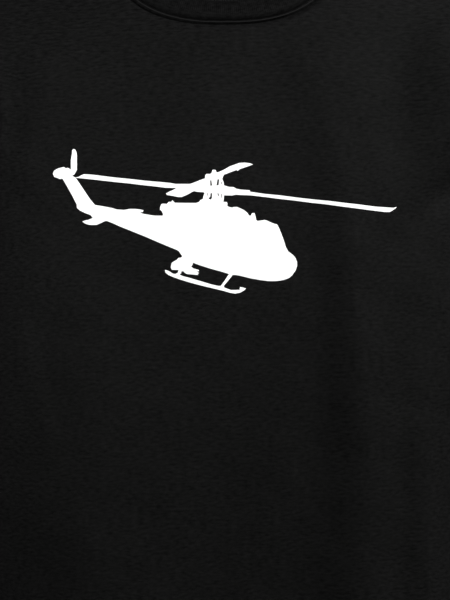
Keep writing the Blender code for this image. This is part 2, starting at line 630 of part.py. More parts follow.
def main():
    clear_scene()
    jersey = make_material("black_jersey", (0.008, 0.008, 0.008), 0.9)
    rib = make_material("black_rib", (0.007, 0.007, 0.007), 0.9)
    trim = make_material("black_tape", (0.012, 0.012, 0.012), 0.8)
    ink = make_material("white_ink", (0.92, 0.92, 0.92), 0.6)

    make_body_panel("front_panel", "front", jersey)
    make_body_panel("back_panel", "back", jersey)
    make_neckband(rib)
    make_neck_tape(trim)
    make_neck_label(trim)
    make_body_hem(jersey)
    make_chest_print(ink)

    loop = armhole_loop()
    first = sleeve_share(EDGE_CLEARANCE)
    sleeve_shares = [first + (1.0 - first) * row / SLEEVE_ROWS for row in range(SLEEVE_ROWS + 1)]
    seam_start = 2.0 * EDGE_CLEARANCE
    seam_shares = [sleeve_share(seam_start), sleeve_share(seam_start + ALLOWANCE_WIDTH)]
    hem_shares = [1.0 - sleeve_share(length) for length in (HEM_WIDTH, 0.5 * HEM_WIDTH, SEAM_GAP)]
    for hand, sign in (("left", 1.0), ("right", -1.0)):
        tube_sheet(f"{hand}_sleeve", sleeve_point, loop, sleeve_shares, 0.0, CLOTH_THICKNESS, jersey, sign)
        tube_sheet(f"{hand}_armhole_seam", sleeve_point, loop, seam_shares, LAYER_DEPTH,
                   ALLOWANCE_THICKNESS, jersey, sign)
        tube_sheet(f"{hand}_sleeve_hem", sleeve_point, loop, hem_shares, LAYER_DEPTH,
                   CLOTH_THICKNESS, jersey, sign)
        make_shoulder_seam(f"{hand}_shoulder_seam", sign, jersey)
        make_side_seam(f"{hand}_side_seam", sign, jersey)


main()
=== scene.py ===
"""A black crew-neck T-shirt with a white printed figure, in the shape it takes on a wearer."""
import math

import bpy
import numpy as np
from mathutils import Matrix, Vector, geometry
from mathutils.bvhtree import BVHTree


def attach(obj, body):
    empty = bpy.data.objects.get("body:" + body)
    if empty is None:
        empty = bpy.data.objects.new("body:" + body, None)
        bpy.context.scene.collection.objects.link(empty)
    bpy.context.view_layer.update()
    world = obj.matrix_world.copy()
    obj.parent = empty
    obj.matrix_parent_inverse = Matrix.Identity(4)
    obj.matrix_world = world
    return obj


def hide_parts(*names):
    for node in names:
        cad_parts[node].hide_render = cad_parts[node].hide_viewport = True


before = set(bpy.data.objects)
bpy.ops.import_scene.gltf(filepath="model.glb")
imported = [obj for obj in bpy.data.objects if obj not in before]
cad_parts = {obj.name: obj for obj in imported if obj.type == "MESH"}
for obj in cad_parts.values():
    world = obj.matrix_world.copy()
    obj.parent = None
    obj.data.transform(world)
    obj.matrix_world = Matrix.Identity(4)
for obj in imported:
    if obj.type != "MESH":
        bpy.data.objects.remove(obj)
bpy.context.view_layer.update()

# The photograph's frame: 450 by 600 pixels of 0.85 mm each on the plane of the chest
PIXEL = 0.00085
IMAGE_CENTRE = (225.0, 300.0)
IMAGE_HEIGHT = 600.0
CHEST_PLANE_Y = -0.098
CAMERA_DISTANCE = 1.8
CAMERA_Z = -0.327
SENSOR_SIZE = 36.0

# The body surface, as in the solids
CHEST_HALF_WIDTH = 0.226
HEM_HALF_WIDTH = 0.230
SHOULDER_SECTION_HALF_WIDTH = 0.292
CHEST_DEPTH = {"front": 0.104, "back": 0.094}
HEM_DEPTH = {"front": 0.100, "back": 0.091}
SECTION_POWER = 2.5
ROUNDING_HEIGHT = {"front": 0.235, "back": 0.150}
NECK_HALF_WIDTH = 0.100
NECK_DROP = {"front": 0.085, "back": 0.018}
NECK_POWER = {"front": 2.5, "back": 1.8}
SHOULDER_POINT_X = 0.235
SHOULDER_DROP = 0.055
RIDGE_SOFTNESS = 0.30
UNDERARM_Z = -0.245
ARMHOLE_SPINE_X = (0.2350, 0.2155, 0.2025, 0.1980, 0.2025, 0.2125, 0.2260)
ARMHOLE_SPINE_Z = (-0.0550, -0.0950, -0.1350, -0.1750, -0.2100, -0.2350, -0.2450)
HEM_Z = -0.715

# The sleeves, as in the solids
SLEEVE_ANGLE = math.radians(38.0)
SLEEVE_MOUTH_CENTRE = np.array((0.307, 0.0, -0.277))
SLEEVE_MOUTH_HALF_HEIGHT = 0.060
SLEEVE_MOUTH_HALF_DEPTH = 0.056
SLEEVE_ROOT_REACH = 0.110
SLEEVE_MOUTH_REACH = 0.150
SLEEVE_TOP_WAY = np.array((0.93, 0.0, -0.37))
SLEEVE_UNDER_SHARE = 0.35

# Cloth, layers and hems
CLOTH_THICKNESS = 0.0008
RIB_THICKNESS = 0.0018
ALLOWANCE_THICKNESS = 0.0010
TRIM_THICKNESS = 0.0005
PRINT_THICKNESS = 0.00012
PRINT_LIFT = 0.00022
LAYER_DEPTH = 0.0011
HEM_LAYER_DEPTH = 0.0009
ALLOWANCE_WIDTH = 0.008
ALLOWANCE_ROWS = 5
SHOULDER_ALLOWANCE_COLUMNS = 40
SHOULDER_ALLOWANCE_INSET = 0.004
SHOULDER_ALLOWANCE_START = 0.0008
SIDE_ALLOWANCE_START = 0.0010
SIDE_ALLOWANCE_ROWS = 90
SIDE_ALLOWANCE_END_GAPS = (0.003, 0.001)
SLEEVE_ALLOWANCE_START = 0.0012
TAPE_WIDTH = 0.010
TAPE_REACH = 0.93
TAPE_GRID = (72, 6)
LABEL_SIZE = (0.040, 0.024)
LABEL_GAP = 0.0003
LABEL_GRID = (14, 9)
HEM_WIDTH = 0.022
HEM_STEP_HEIGHT = 0.0004
HEM_STEP_LENGTH = 0.002
HEM_STITCH_ROWS = (0.0150, 0.0205)
EDGE_GAP = 0.0004

# The neckband: it swells from its seat to a crest over the roll, and falls back towards its fold
NECKBAND_HEIGHT = 0.020
NECKBAND_LEAN = 0.88
NECKBAND_BULGE = 0.0072
NECKBAND_ROLL = 0.0052
NECKBAND_FALL = 0.6
NECKBAND_SEAT = 0.0044
NECKBAND_FOLD_SHARE = 1.012
NECKBAND_RISE = (0.004, 0.015, 0.03, 0.05, 0.08, 0.12, 0.17, 0.23, 0.30, 0.40, 0.52, 0.66, 0.80, 0.90, 0.96)
RIB_COUNT = 330
RIB_SAMPLES = 5
RIB_RELIEF = 0.00009
RIB_ENDS = (0.04, 0.985)
NECK_SAMPLES = 600
NECK_SMOOTHINGS = 6
NECK_WELT_RADIUS = 0.0005
NECK_WELT_OUT = 0.0009
NECK_WELT_DOWN = 0.0017
NECK_WELT_SIDES = 8

# Stitches, small capsules; the profile is in shares of the length and of the radius
STITCH_LENGTH = 0.0026
STITCH_PITCH = 0.0034
STITCH_RADIUS = 0.00022
STITCH_LIFT = 0.00010
STITCH_SIGHT = 0.3
STITCH_SIDES = 6
STITCH_FLATNESS = 0.8
STITCH_PROFILE = ((-0.50, 0.35), (-0.36, 0.9), (0.0, 1.05), (0.36, 0.9), (0.50, 0.35))
BODY_STITCH_POINTS = 360

# How the cloth rises and dips beside a seam: height, distance from the seam and width of each bump
ARMHOLE_BUMPS = ((-0.0010, 0.0, 0.0018), (0.0005, 0.0045, 0.0030))
SHOULDER_BUMPS = ((-0.0008, 0.0, 0.0015),)
SIDE_BUMPS = ((-0.0006, 0.0, 0.0016),)
NECK_BUMPS = ((0.0032, NECK_WELT_DOWN, 0.0005), (-0.0028, NECK_WELT_DOWN + 0.0006, 0.0017))
STITCH_BUMPS = tuple((-0.0003, row, 0.0012) for row in HEM_STITCH_ROWS)
SLEEVE_BUMPS = ((-0.0010, 0.0, 0.0018), (0.0006, 0.0050, 0.0035))

# Small gathers across a seam: pitch, size and reach; a second wave has a share of the size,
# a longer pitch and a phase
SECOND_GATHER = (0.6, 1.7, 1.3)
ARMHOLE_GATHERS = (0.013, 0.00022, 0.007)
SIDE_GATHERS = (0.021, 0.00028, 0.008)
SHOULDER_GATHERS = (0.017, 0.00018, 0.006)
NECK_GATHERS = (0.009, 0.00010, 0.006)
BODY_HEM_GATHERS = (0.019, 0.00030, 0.012)
SLEEVE_GATHERS = (0.015, 0.00025, 0.008)
SLEEVE_HEM_GATHERS = (0.016, 0.00025, 0.010)

# How finely the cloth is cut
TABLE_SIZE = 1200
FOLD_SAMPLES = 14
FOLD_REACH = 3.3
NORMAL_STEP = 0.002
SHARP_ANGLE = math.radians(50.0)
SHARE_STEP = 0.01
CLOTH_STEP = 0.0058
CLOTH_EDGE_GAP = 0.0085
CLOTH_HEM_GAP = 0.0270
NECK_EDGE_SAMPLES = 400
NECK_EDGE_STEP = 0.0026
ARMHOLE_EDGE_STEP = 0.0032
LONG_EDGE_STEP = 0.0045
NECK_ROWS = (0.0004, 0.0009, 0.0014, 0.0020, 0.0026, 0.0034, 0.0046, 0.0068)
SEAM_ROWS = (0.0010, 0.0024, 0.0048)
HEM_ROWS = (0.0022, 0.0050, 0.0125, 0.0150, 0.0178, 0.0205, 0.0222, 0.0236)
SLEEVE_COLUMNS = 168
SLEEVE_ROWS = 44
SLEEVE_SEAM_ROWS = (0.0, 0.0009, 0.0020, 0.0036, 0.0058)
SLEEVE_HEM_ROWS = (0.0236, 0.0222, 0.0205, 0.0178, 0.0150, 0.0125, 0.0060, 0.0020, 0.0)
PRINT_STEP = 4.0

# The studio: each lamp's place, what it points at, its size and its power
FLOOR_Z = -1.45
FLOOR_HALF_WIDTH = 6.0
WORLD_GREY = 0.93
WORLD_STRENGTH = 0.08
LAMPS = {
    "key": ((1.78, -0.93, 1.08), (0.0, -0.1, -0.30), (0.5, 0.5), 76.0),
    "fill": ((-0.44, -0.62, -0.12), (-0.2, -0.1, -0.20), (0.5, 0.5), 4.9),
    "back": ((0.5, 2.4, 1.4), (0.0, 0.0, -0.30), (1.8, 1.4), 45.0),
}

# Colours and relief; streaks are wide and tall, a grade says where the noise is darkest and lightest,
# and a relief is its strength and its height
KNIT_ROUGHNESS = 0.62
KNIT_SHINE = 0.03
KNIT_BLOOM = 0.004
KNIT_BLOOM_ROUGHNESS = 0.5
KNIT_ROW_STREAKS = (0.0052, 0.0021)
KNIT_SOFT_STREAKS = (0.060, 0.045)
KNIT_SOFT_SHARE = 0.13
KNIT_ROW_HEIGHT = 0.8
KNIT_SLANT = 1.6
KNIT_GRADE = (0.30, 0.72)
KNIT_RELIEF = (0.55, 0.00012)
INK_ROUGHNESS = 0.55
INK_SHINE = 0.3
INK_STREAKS = (0.0016, 0.0012)
INK_GRADE = (0.25, 0.60)
INK_COLOUR = (0.93, 0.93, 0.93)
INK_WHITES = ((0.88, 0.88, 0.88), (0.95, 0.95, 0.95))
INK_RELIEF = (0.35, 0.00008)
FLOOR_ROUGHNESS = 0.7
FLOOR_NOISE_SCALE = 6.0
FLOOR_COLOUR = (0.80, 0.80, 0.79)
FLOOR_GREYS = ((0.76, 0.76, 0.75), (0.82, 0.82, 0.81))

# The black cloths: darkest and lightest grey, width of a column of stitches and height of a row
KNITS = {
    "black_jersey_knit": (0.0017, 0.0073, 0.00085, 0.0007),
    "black_rib_knit": (0.0010, 0.0056, 0.0017, 0.0009),
    "black_twill_tape": (0.006, 0.016, 0.0012, 0.0006),
    "black_satin_label": (0.010, 0.020, 0.0005, 0.0003),
    "black_thread": (0.006, 0.014, 0.0004, 0.0004),
}


def smooth_step(value):
    value = np.clip(value, 0.0, 1.0)
    return value * value * (3.0 - 2.0 * value)


def arc_length(points):
    steps = np.linalg.norm(np.diff(np.asarray(points, float), axis=0), axis=1)
    return np.concatenate(([0.0], np.cumsum(steps)))


def points_at(points, length, marks):
    """The points of a run at given marks along its length."""
    return np.stack([np.interp(marks, length, points[:, axis]) for axis in range(points.shape[1])], axis=1)


def resample(points, step):
    """The same open run of points, evenly spaced at about the step."""
    points = np.asarray(points, float)
    length = arc_length(points)
    count = max(int(round(length[-1] / step)), 1)
    return points_at(points, length, np.linspace(0.0, length[-1], count + 1))


def smooth_curve(points, count):
    """A Catmull-Rom curve through the points, sampled evenly in its own parameter."""
    points = np.asarray(points, float)
    ends = np.concatenate(([2 * points[0] - points[1]], points, [2 * points[-1] - points[-2]]))
    places = np.linspace(0.0, len(points) - 1.0, count)
    index = np.minimum(places.astype(int), len(points) - 2)
    t = (places - index)[:, None]
    a, b, c, d = (ends[index + offset] for offset in range(4))
    cubic = (3 * b - a - 3 * c + d) * t ** 3
    return 0.5 * (2 * b + (c - a) * t + (2 * a - 5 * b + 4 * c - d) * t ** 2 + cubic)


# A quarter of the body's level section, as a table of the length round from the centre line
QUARTER_TURN = np.linspace(0.0, math.pi / 2, TABLE_SIZE)
ACROSS = np.sin(QUARTER_TURN) ** (2.0 / SECTION_POWER)
OUTWARD = np.cos(QUARTER_TURN) ** (2.0 / SECTION_POWER)
ROUND_LENGTH = arc_length(np.stack((CHEST_HALF_WIDTH * ACROSS, CHEST_DEPTH["front"] * OUTWARD), axis=1))
HALF_PANEL = float(ROUND_LENGTH[-1])
HEM_COLUMNS = int(2.0 * HALF_PANEL / LONG_EDGE_STEP)
PROFILE_DROP = 0.8 * np.linspace(0.0, 1.0, 4 * TABLE_SIZE) ** 2
PROFILE_OUT = {side: np.sqrt(np.tanh(PROFILE_DROP / ROUNDING_HEIGHT[side])) for side in ("front", "back")}
PROFILE_LENGTH = {
    side: arc_length(np.stack((CHEST_DEPTH[side] * PROFILE_OUT[side], PROFILE_DROP), axis=1))
    for side in ("front", "back")}
NECK_ACROSS = NECK_HALF_WIDTH / SHOULDER_SECTION_HALF_WIDTH
SHOULDER_ACROSS = SHOULDER_POINT_X / SHOULDER_SECTION_HALF_WIDTH
RIDGE_LENGTH = math.hypot(RIDGE_SOFTNESS, SHOULDER_ACROSS) - math.hypot(RIDGE_SOFTNESS, NECK_ACROSS)
RIDGE_FALL = SHOULDER_DROP / RIDGE_LENGTH


def section_half_width(z):
    chest_share = smooth_step((-SHOULDER_DROP - z) / (-SHOULDER_DROP - UNDERARM_Z))
    hem_share = smooth_step((UNDERARM_Z - z) / (UNDERARM_Z - HEM_Z))
    upper = SHOULDER_SECTION_HALF_WIDTH + (CHEST_HALF_WIDTH - SHOULDER_SECTION_HALF_WIDTH) * chest_share
    return upper + (HEM_HALF_WIDTH - CHEST_HALF_WIDTH) * hem_share


def section_depth(side, z):
    hem_share = smooth_step((UNDERARM_Z - z) / (UNDERARM_Z - HEM_Z))
    return CHEST_DEPTH[side] + (HEM_DEPTH[side] - CHEST_DEPTH[side]) * hem_share


def ridge_height(across):
    return RIDGE_FALL * (math.hypot(RIDGE_SOFTNESS, NECK_ACROSS) - np.hypot(RIDGE_SOFTNESS, across))


def smooth_body(side, u, s):
    """The body surface without folds: u is the length round from the centre, s the length down."""
    across = np.interp(np.abs(u), ROUND_LENGTH, ACROSS)
    outward = np.interp(np.abs(u), ROUND_LENGTH, OUTWARD)
    drop = np.interp(s, PROFILE_LENGTH[side], PROFILE_DROP)
    out = np.interp(s, PROFILE_LENGTH[side], PROFILE_OUT[side])
    z = ridge_height(across) - drop
    x = np.copysign(section_half_width(z) * across, u)
    y = section_depth(side, z) * outward * out * (-1.0 if side == "front" else 1.0)
    return np.stack((x, y, z), axis=-1)


def body_place(side, x, z):
    """The (u, s) places on the body surface that lie at given x and z."""
    x, z = np.asarray(x, float), np.asarray(z, float)
    across = np.minimum(np.abs(x) / section_half_width(z), 1.0)
    u = np.copysign(np.interp(across, ACROSS, ROUND_LENGTH), x)
    return np.stack((u, np.interp(ridge_height(across) - z, PROFILE_DROP, PROFILE_LENGTH[side])), axis=-1)


def unit(vectors):
    return vectors / np.maximum(np.linalg.norm(vectors, axis=-1, keepdims=True), 1e-12)


def body_normal(side, u, s):
    wide = smooth_body(side, np.minimum(u + NORMAL_STEP, HALF_PANEL), s)
    wide = wide - smooth_body(side, np.maximum(u - NORMAL_STEP, -HALF_PANEL), s)
    tall = smooth_body(side, u, s + NORMAL_STEP) - smooth_body(side, u, np.maximum(s - NORMAL_STEP, 0.0))
    normal = np.cross(tall, wide) if side == "front" else np.cross(wide, tall)
    return unit(normal)


def hem_place(side, u, z):
    """The length down from the ridge at which the surface is at height z."""
    across = np.interp(np.abs(u), ROUND_LENGTH, ACROSS)
    return np.interp(ridge_height(across) - z, PROFILE_DROP, PROFILE_LENGTH[side])


def fold_curve(path, widths, heights, lean=1.0):
    """A fold in metres: its path, its widths on the left and on the right of it, and its heights."""
    curve = smooth_curve(np.array(path, float) / 1000.0, FOLD_SAMPLES)
    share = arc_length(curve)
    share = share / share[-1]
    width = np.interp(share, np.linspace(0.0, 1.0, len(widths)), widths) / 1000.0
    height = np.interp(share, np.linspace(0.0, 1.0, len(heights)), heights) / 1000.0
    return curve, width, width * lean, height


def fold_sum(places, folds, period):
    """The height that soft folds add at each place; the first coordinate goes round with the period."""
    total = np.zeros(len(places))
    for curve, left, right, height in folds:
        reach = FOLD_REACH * max(left.max(), right.max())
        for shift in (-period, 0.0, period):
            moved = curve + np.array((shift, 0.0))
            low, high = moved.min(axis=0) - reach, moved.max(axis=0) + reach
            close = np.flatnonzero(((places > low) & (places < high)).all(axis=1))
            if len(close):
                total[close] += one_fold(places[close], moved, left, right, height)
    return total


def one_fold(spots, curve, left, right, height):
    near = np.full(len(spots), np.inf)
    at = np.zeros(len(spots))
    hand = np.zeros(len(spots))
    for index, (start, way) in enumerate(zip(curve[:-1], np.diff(curve, axis=0))):
        offset = spots - start
        along = np.clip(offset @ way / (way @ way), 0.0, 1.0)
        gap = offset - along[:, None] * way
        distance = np.hypot(gap[:, 0], gap[:, 1])
        closer = distance < near
        near = np.where(closer, distance, near)
        at = np.where(closer, index + along, at)
        hand = np.where(closer, way[0] * offset[:, 1] - way[1] * offset[:, 0], hand)
    knots = np.arange(len(curve))
    width = np.where(hand > 0.0, np.interp(at, knots, right), np.interp(at, knots, left))
    return np.interp(at, knots, height) * np.exp(-0.5 * (near / width) ** 2)


# Folds of the front, in millimetres: path as x and z, widths, heights, and how much wider the right flank is
FRONT_FOLDS = [
    # The long ridge right of the middle, steep on its left, and the valley it rises from
    ([(86, -95), (89, -165), (100, -250), (108, -344), (113, -412), (115, -480), (114, -569), (120, -725)],
     (12, 12, 13, 16, 20), (0, 2.4, 4.4, 6.2, 7.0, 7.2, 7.0, 6.8), 1.15),
    ([(88, -95), (92, -165), (104, -250), (112, -344), (117, -412), (119, -480), (119, -569), (126, -725)],
     (16, 15, 17, 28, 50), (0, 1.0, 2.4, 4.4, 6.0, 7.2, 8.0, 8.2), 1.5),
    ([(78, -230), (80, -344), (78, -412), (72, -480), (60, -569), (52, -725)],
     (12, 14, 20, 26), (0, -3.0, -5.0, -5.2, -1.6, 0), 1.0),
    # The soft ridge down the middle, and the hollow right of it
    ([(-20, -95), (-20, -160), (-22, -240), (-27, -344), (-39, -446), (-49, -514), (-62, -569), (-82, -725)],
     (32, 30, 22, 26), (0, 6.0, 6.4, 6.0, 5.8, 6.0, 6.6, 6.8), 0.70),
    ([(30, -320), (20, -446), (10, -514), (0, -569), (-10, -725)],
     (24, 34), (0, -2.8, -6.6, -10.8, -12.0), 1.15),
    ([(48, -85), (46, -150), (44, -220), (38, -310)], (13, 15), (0, -1.4, -1.4, 0), 1.0),
    # The right edge
    ([(148, -390), (150, -470), (153, -560), (154, -725)], (9, 11), (0, -2.2, -3.2, -3.6), 1.0),
    ([(171, -340), (169, -400), (168, -470), (168, -560), (170, -725)],
     (10, 13), (0, 5.0, 5.6, 4.6, 4.2), 1.0),
    ([(199, -330), (201, -500), (203, -725)], (13, 16), (0, -1.8, -3.4), 1.0),
    # The left side
    ([(-98, -310), (-103, -412), (-108, -480), (-114, -550), (-122, -725)],
     (18, 22), (0, 3.4, 5.4, 7.4, 8.4), 1.7),
    ([(-148, -345), (-156, -396), (-166, -426), (-180, -470), (-192, -518), (-199, -580), (-204, -725)],
     (13, 16, 18), (0, -3.4, -5.0, -5.6, -5.8, -5.8, -5.6), 1.0),
    ([(-176, -318), (-170, -370), (-158, -420), (-146, -462)], (8, 9), (0, 1.6, 2.2, 0), 0.8),
    ([(-212, -330), (-214, -500), (-215, -725)], (12, 15), (0, 2.2, 3.8), 1.0),
    # Drag lines beside the armholes
    ([(-208, -215), (-184, -232), (-150, -262), (-120, -292)], (7, 12), (-2.8, -2.2, -1.2, 0), 1.0),
    ([(-205, -186), (-172, -204), (-132, -222)], (6, 10), (1.8, 1.3, 0), 1.0),
    ([(210, -222), (184, -240), (158, -270), (142, -304)], (7, 12), (-3.2, -2.8, -1.5, 0), 1.0),
    ([(203, -172), (182, -196), (162, -232), (152, -276)], (7, 11), (1.8, 1.9, 1.1, 0), 1.0),
    ([(-190, -100), (-182, -140), (-186, -190)], (8, 9), (0, -3.0, -2.0), 1.0),
    ([(160, -70), (155, -112), (154, -165), (156, -225)], (12, 13), (0, -3.6, -3.8, 0), 1.0),
    ([(206, -75), (204, -125), (201, -195)], (20, 20), (3.0, 9.0, 5.0), 1.0),
    ([(-208, -82), (-190, -106), (-164, -130), (-132, -150)], (9, 14), (1.3, 1.5, 0.9, 0), 1.0),
    ([(208, -82), (190, -104), (164, -126), (134, -140)], (9, 14), (1.3, 1.3, 0.8, 0), 1.0),
]

# Folds of the back, in the same terms; x is the same way round as on the front
BACK_FOLDS = [
    ([(-12, -150), (-8, -330), (-4, -520), (-2, -725)], (26, 28), (0, -1.2, -3.0, -4.6), 1.0),
    ([(-66, -240), (-56, -400), (-50, -560), (-47, -725)], (18, 22), (0, 2.0, 4.4, 6.0), 1.0),
    ([(56, -210), (50, -380), (47, -560), (45, -725)], (18, 22), (0, 1.8, 4.6, 6.2), 1.0),
    ([(-106, -260), (-100, -420), (-98, -725)], (15, 20), (0, -3.0, -5.2), 1.0),
    ([(102, -250), (100, -420), (98, -725)], (15, 20), (0, -2.8, -5.4), 1.0),
    ([(-152, -290), (-148, -450), (-146, -725)], (16, 20), (0, 3.4, 5.8), 1.0),
    ([(148, -300), (150, -460), (152, -725)], (16, 20), (0, 3.0, 5.6), 1.0),
    ([(-194, -310), (-194, -470), (-196, -725)], (14, 18), (0, -2.6, -4.2), 1.0),
    ([(196, -300), (194, -470), (194, -725)], (14, 18), (0, -2.6, -4.4), 1.0),
    ([(-204, -200), (-174, -212), (-118, -218), (-62, -212)], (8, 16), (-2.6, -2.2, -1.0, 0), 1.0),
    ([(204, -206), (176, -218), (124, -226), (74, -218)], (8, 16), (-2.6, -2.2, -1.0, 0), 1.0),
    ([(-199, -156), (-168, -166), (-126, -170)], (8, 13), (1.8, 1.5, 0), 1.0),
    ([(199, -152), (168, -164), (130, -168)], (8, 13), (1.8, 1.5, 0), 1.0),
    ([(-208, -234), (-180, -268), (-162, -316)], (8, 14), (1.9, 1.8, 0), 1.0),
    ([(208, -236), (182, -274), (164, -326)], (8, 14), (1.9, 1.8, 0), 1.0),
    ([(-64, -44), (-30, -58), (0, -62), (30, -58), (64, -44)], (7, 8), (0, 0.9, 1.2, 0.9, 0), 1.0),
]

# Long shallow waves all over, so that no stretch of cloth is quite even: waves round the body, waves
# in 0.63 metres of height, phase and size; on the body they grow from the top down
RIPPLE_TOP_Z = -0.05
RIPPLE_GROWTH = 0.08
RIPPLES = [
    (11.0, 3.0, 0.4, 0.00035), (17.0, -5.0, 2.1, 0.00028), (7.0, 9.0, 4.0, 0.00030),
    (29.0, 7.0, 1.2, 0.00016), (23.0, -16.0, 5.3, 0.00014), (13.0, 23.0, 0.9, 0.00014),
    (41.0, 12.0, 3.3, 0.00008), (37.0, -31.0, 2.7, 0.00007),
]


def around_place(side, u):
    """The length round the whole body, counted from the middle of the front over the +X side."""
    return u if side == "front" else 2.0 * HALF_PANEL - u


def placed_folds(side, listed):
    """Folds whose paths are turned from x and z into lengths round the body and z."""
    folds = []
    for path, widths, heights, lean in listed:
        points = np.array(path, float) / 1000.0
        around = around_place(side, body_place(side, points[:, 0], points[:, 1])[:, 0])
        folds.append(fold_curve(np.stack((around, points[:, 1]), axis=1) * 1000.0, widths, heights, lean))
    return folds


BODY_FOLDS = placed_folds("front", FRONT_FOLDS) + placed_folds("back", BACK_FOLDS)


def fold_height(side, u, z):
    around = around_place(side, u)
    height = fold_sum(np.stack((around, z), axis=1), BODY_FOLDS, 4.0 * HALF_PANEL)
    turn = math.pi * around / (2.0 * HALF_PANEL)
    growth = smooth_step((RIPPLE_TOP_Z - z) / RIPPLE_GROWTH)
    for rounds, upward, phase, size in RIPPLES:
        height += size * growth * np.sin(rounds * turn + upward * z * 10.0 + phase)
    return height


def run_distance(places, run):
    """The distance from each place to an open run of points."""
    near = np.full(len(places), np.inf)
    for start, end in zip(run[:-1], run[1:]):
        way = end - start
        along = np.clip(((places - start) @ way) / max(way @ way, 1e-18), 0.0, 1.0)
        near = np.minimum(near, np.linalg.norm(places - start - along[:, None] * way, axis=1))
    return near


def neckline(side, count):
    """The neck seam as x and z, from the left end over the middle to the right one."""
    turn = np.linspace(0.0, math.pi, count + 1)
    power = 2.0 / NECK_POWER[side]
    x = -np.copysign(np.abs(np.cos(turn)) ** power, np.cos(turn)) * NECK_HALF_WIDTH
    return np.stack((x, -NECK_DROP[side] * np.abs(np.sin(turn)) ** power), axis=1)


def armhole_curve(step=None, count=None):
    """The armhole seam as x and z on the +X side, from the shoulder point down to the underarm."""
    knots = np.linspace(0.0, 1.0, len(ARMHOLE_SPINE_X))
    fine = np.linspace(0.0, 1.0, TABLE_SIZE)
    degree = len(knots) - 1
    x = np.polyval(np.polyfit(knots, ARMHOLE_SPINE_X, degree), fine)
    z = np.polyval(np.polyfit(knots, ARMHOLE_SPINE_Z, degree), fine)
    curve = np.stack((x, z), axis=1)
    return resample(curve, step if step else arc_length(curve)[-1] / count)


def panel_runs(side):
    """The runs of a panel's cut edge in (u, s), each from left to right or from top to bottom."""
    fine_neck = neckline(side, NECK_EDGE_SAMPLES)
    neck = resample(body_place(side, fine_neck[:, 0], fine_neck[:, 1]), NECK_EDGE_STEP)
    curve = armhole_curve(step=ARMHOLE_EDGE_STEP)
    armhole = body_place(side, curve[:, 0], curve[:, 1])
    armhole[0, 1] = 0.0
    armhole[-1, 0] = HALF_PANEL
    shoulder = resample([neck[-1], armhole[0]], LONG_EDGE_STEP)
    seam = resample([armhole[-1], (HALF_PANEL, float(hem_place(side, HALF_PANEL, HEM_Z)))], LONG_EDGE_STEP)
    hem_us = np.linspace(-HALF_PANEL, HALF_PANEL, HEM_COLUMNS)
    hem = np.stack((hem_us, hem_place(side, hem_us, HEM_Z)), axis=1)
    return {"neck": neck, "shoulder": shoulder, "armhole": armhole, "side": seam, "hem": hem}


def mirrored(run):
    return run * np.array((-1.0, 1.0))


RUNS = {side: panel_runs(side) for side in ("front", "back")}


def gathers(distance, along, pitch, size, reach):
    """Small gathers across a seam, dying away from it."""
    share, longer, phase = SECOND_GATHER
    wave = np.sin(2.0 * math.pi * along / pitch)
    wave = wave + share * np.sin(2.0 * math.pi * along / (longer * pitch) + phase)
    return size * wave * np.exp(-distance / reach)


def bumps(distance, shapes):
    """The height of rounded bumps and dips at a distance from a seam."""
    return sum(height * np.exp(-((distance - place) / width) ** 2) for height, place, width in shapes)


def hem_shape(to_edge, around, waves):
    """The step of the doubled hem, its gathers and the dips at its stitch rows."""
    from_step = (HEM_WIDTH + 0.5 * HEM_STEP_LENGTH - to_edge) / HEM_STEP_LENGTH
    step = HEM_STEP_HEIGHT * smooth_step(from_step)
    from_row = np.abs(to_edge - HEM_STITCH_ROWS[0])
    return step + gathers(from_row, around, *waves) + bumps(to_edge, STITCH_BUMPS)


def edge_shape(side, places):
    """How the cloth dips and rises beside its seams."""
    runs = RUNS[side]
    armhole = run_distance(np.abs(places), runs["armhole"])
    shoulder = run_distance(np.abs(places), runs["shoulder"])
    seam = HALF_PANEL - np.abs(places[:, 0])
    neck = run_distance(places, runs["neck"])
    height = bumps(armhole, ARMHOLE_BUMPS) + gathers(armhole, places[:, 1], *ARMHOLE_GATHERS)
    height += bumps(shoulder, SHOULDER_BUMPS) + gathers(shoulder, places[:, 0], *SHOULDER_GATHERS)
    height += bumps(seam, SIDE_BUMPS) + gathers(seam, places[:, 1], *SIDE_GATHERS)
    height += bumps(neck, NECK_BUMPS) + gathers(neck, places[:, 0], *NECK_GATHERS)
    to_hem = hem_place(side, places[:, 0], HEM_Z) - places[:, 1]
    return height + hem_shape(to_hem, around_place(side, places[:, 0]), BODY_HEM_GATHERS)


def body_cloth(side, places, depth=0.0, edges=True):
    """Points of the folded cloth at a depth under its outer face."""
    places = np.asarray(places, float)
    u, s = places[:, 0], places[:, 1]
    surface = smooth_body(side, u, s)
    height = fold_height(side, u, surface[:, 2])
    if edges:
        height = height + edge_shape(side, places)
    return surface + body_normal(side, u, s) * (height - depth)[:, None]


def add_piece(name, points, faces, material, uvs=None):
    """A piece that rides on the part's one body; uvs are its points' places on the flat cloth."""
    mesh = bpy.data.meshes.new(name)
    mesh.from_pydata(np.asarray(points).tolist(), [], faces)
    if uvs is not None:
        layer = mesh.uv_layers.new(name="cloth")
        corners = np.empty(len(mesh.loops), dtype=np.int64)
        mesh.loops.foreach_get("vertex_index", corners)
        layer.data.foreach_set("uv", uvs[corners].astype(np.float32).ravel())
    mesh.materials.append(material)
    mesh.shade_smooth()
    piece = bpy.data.objects.new(name, mesh)
    bpy.context.scene.collection.objects.link(piece)
    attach(piece, "root")
    return piece


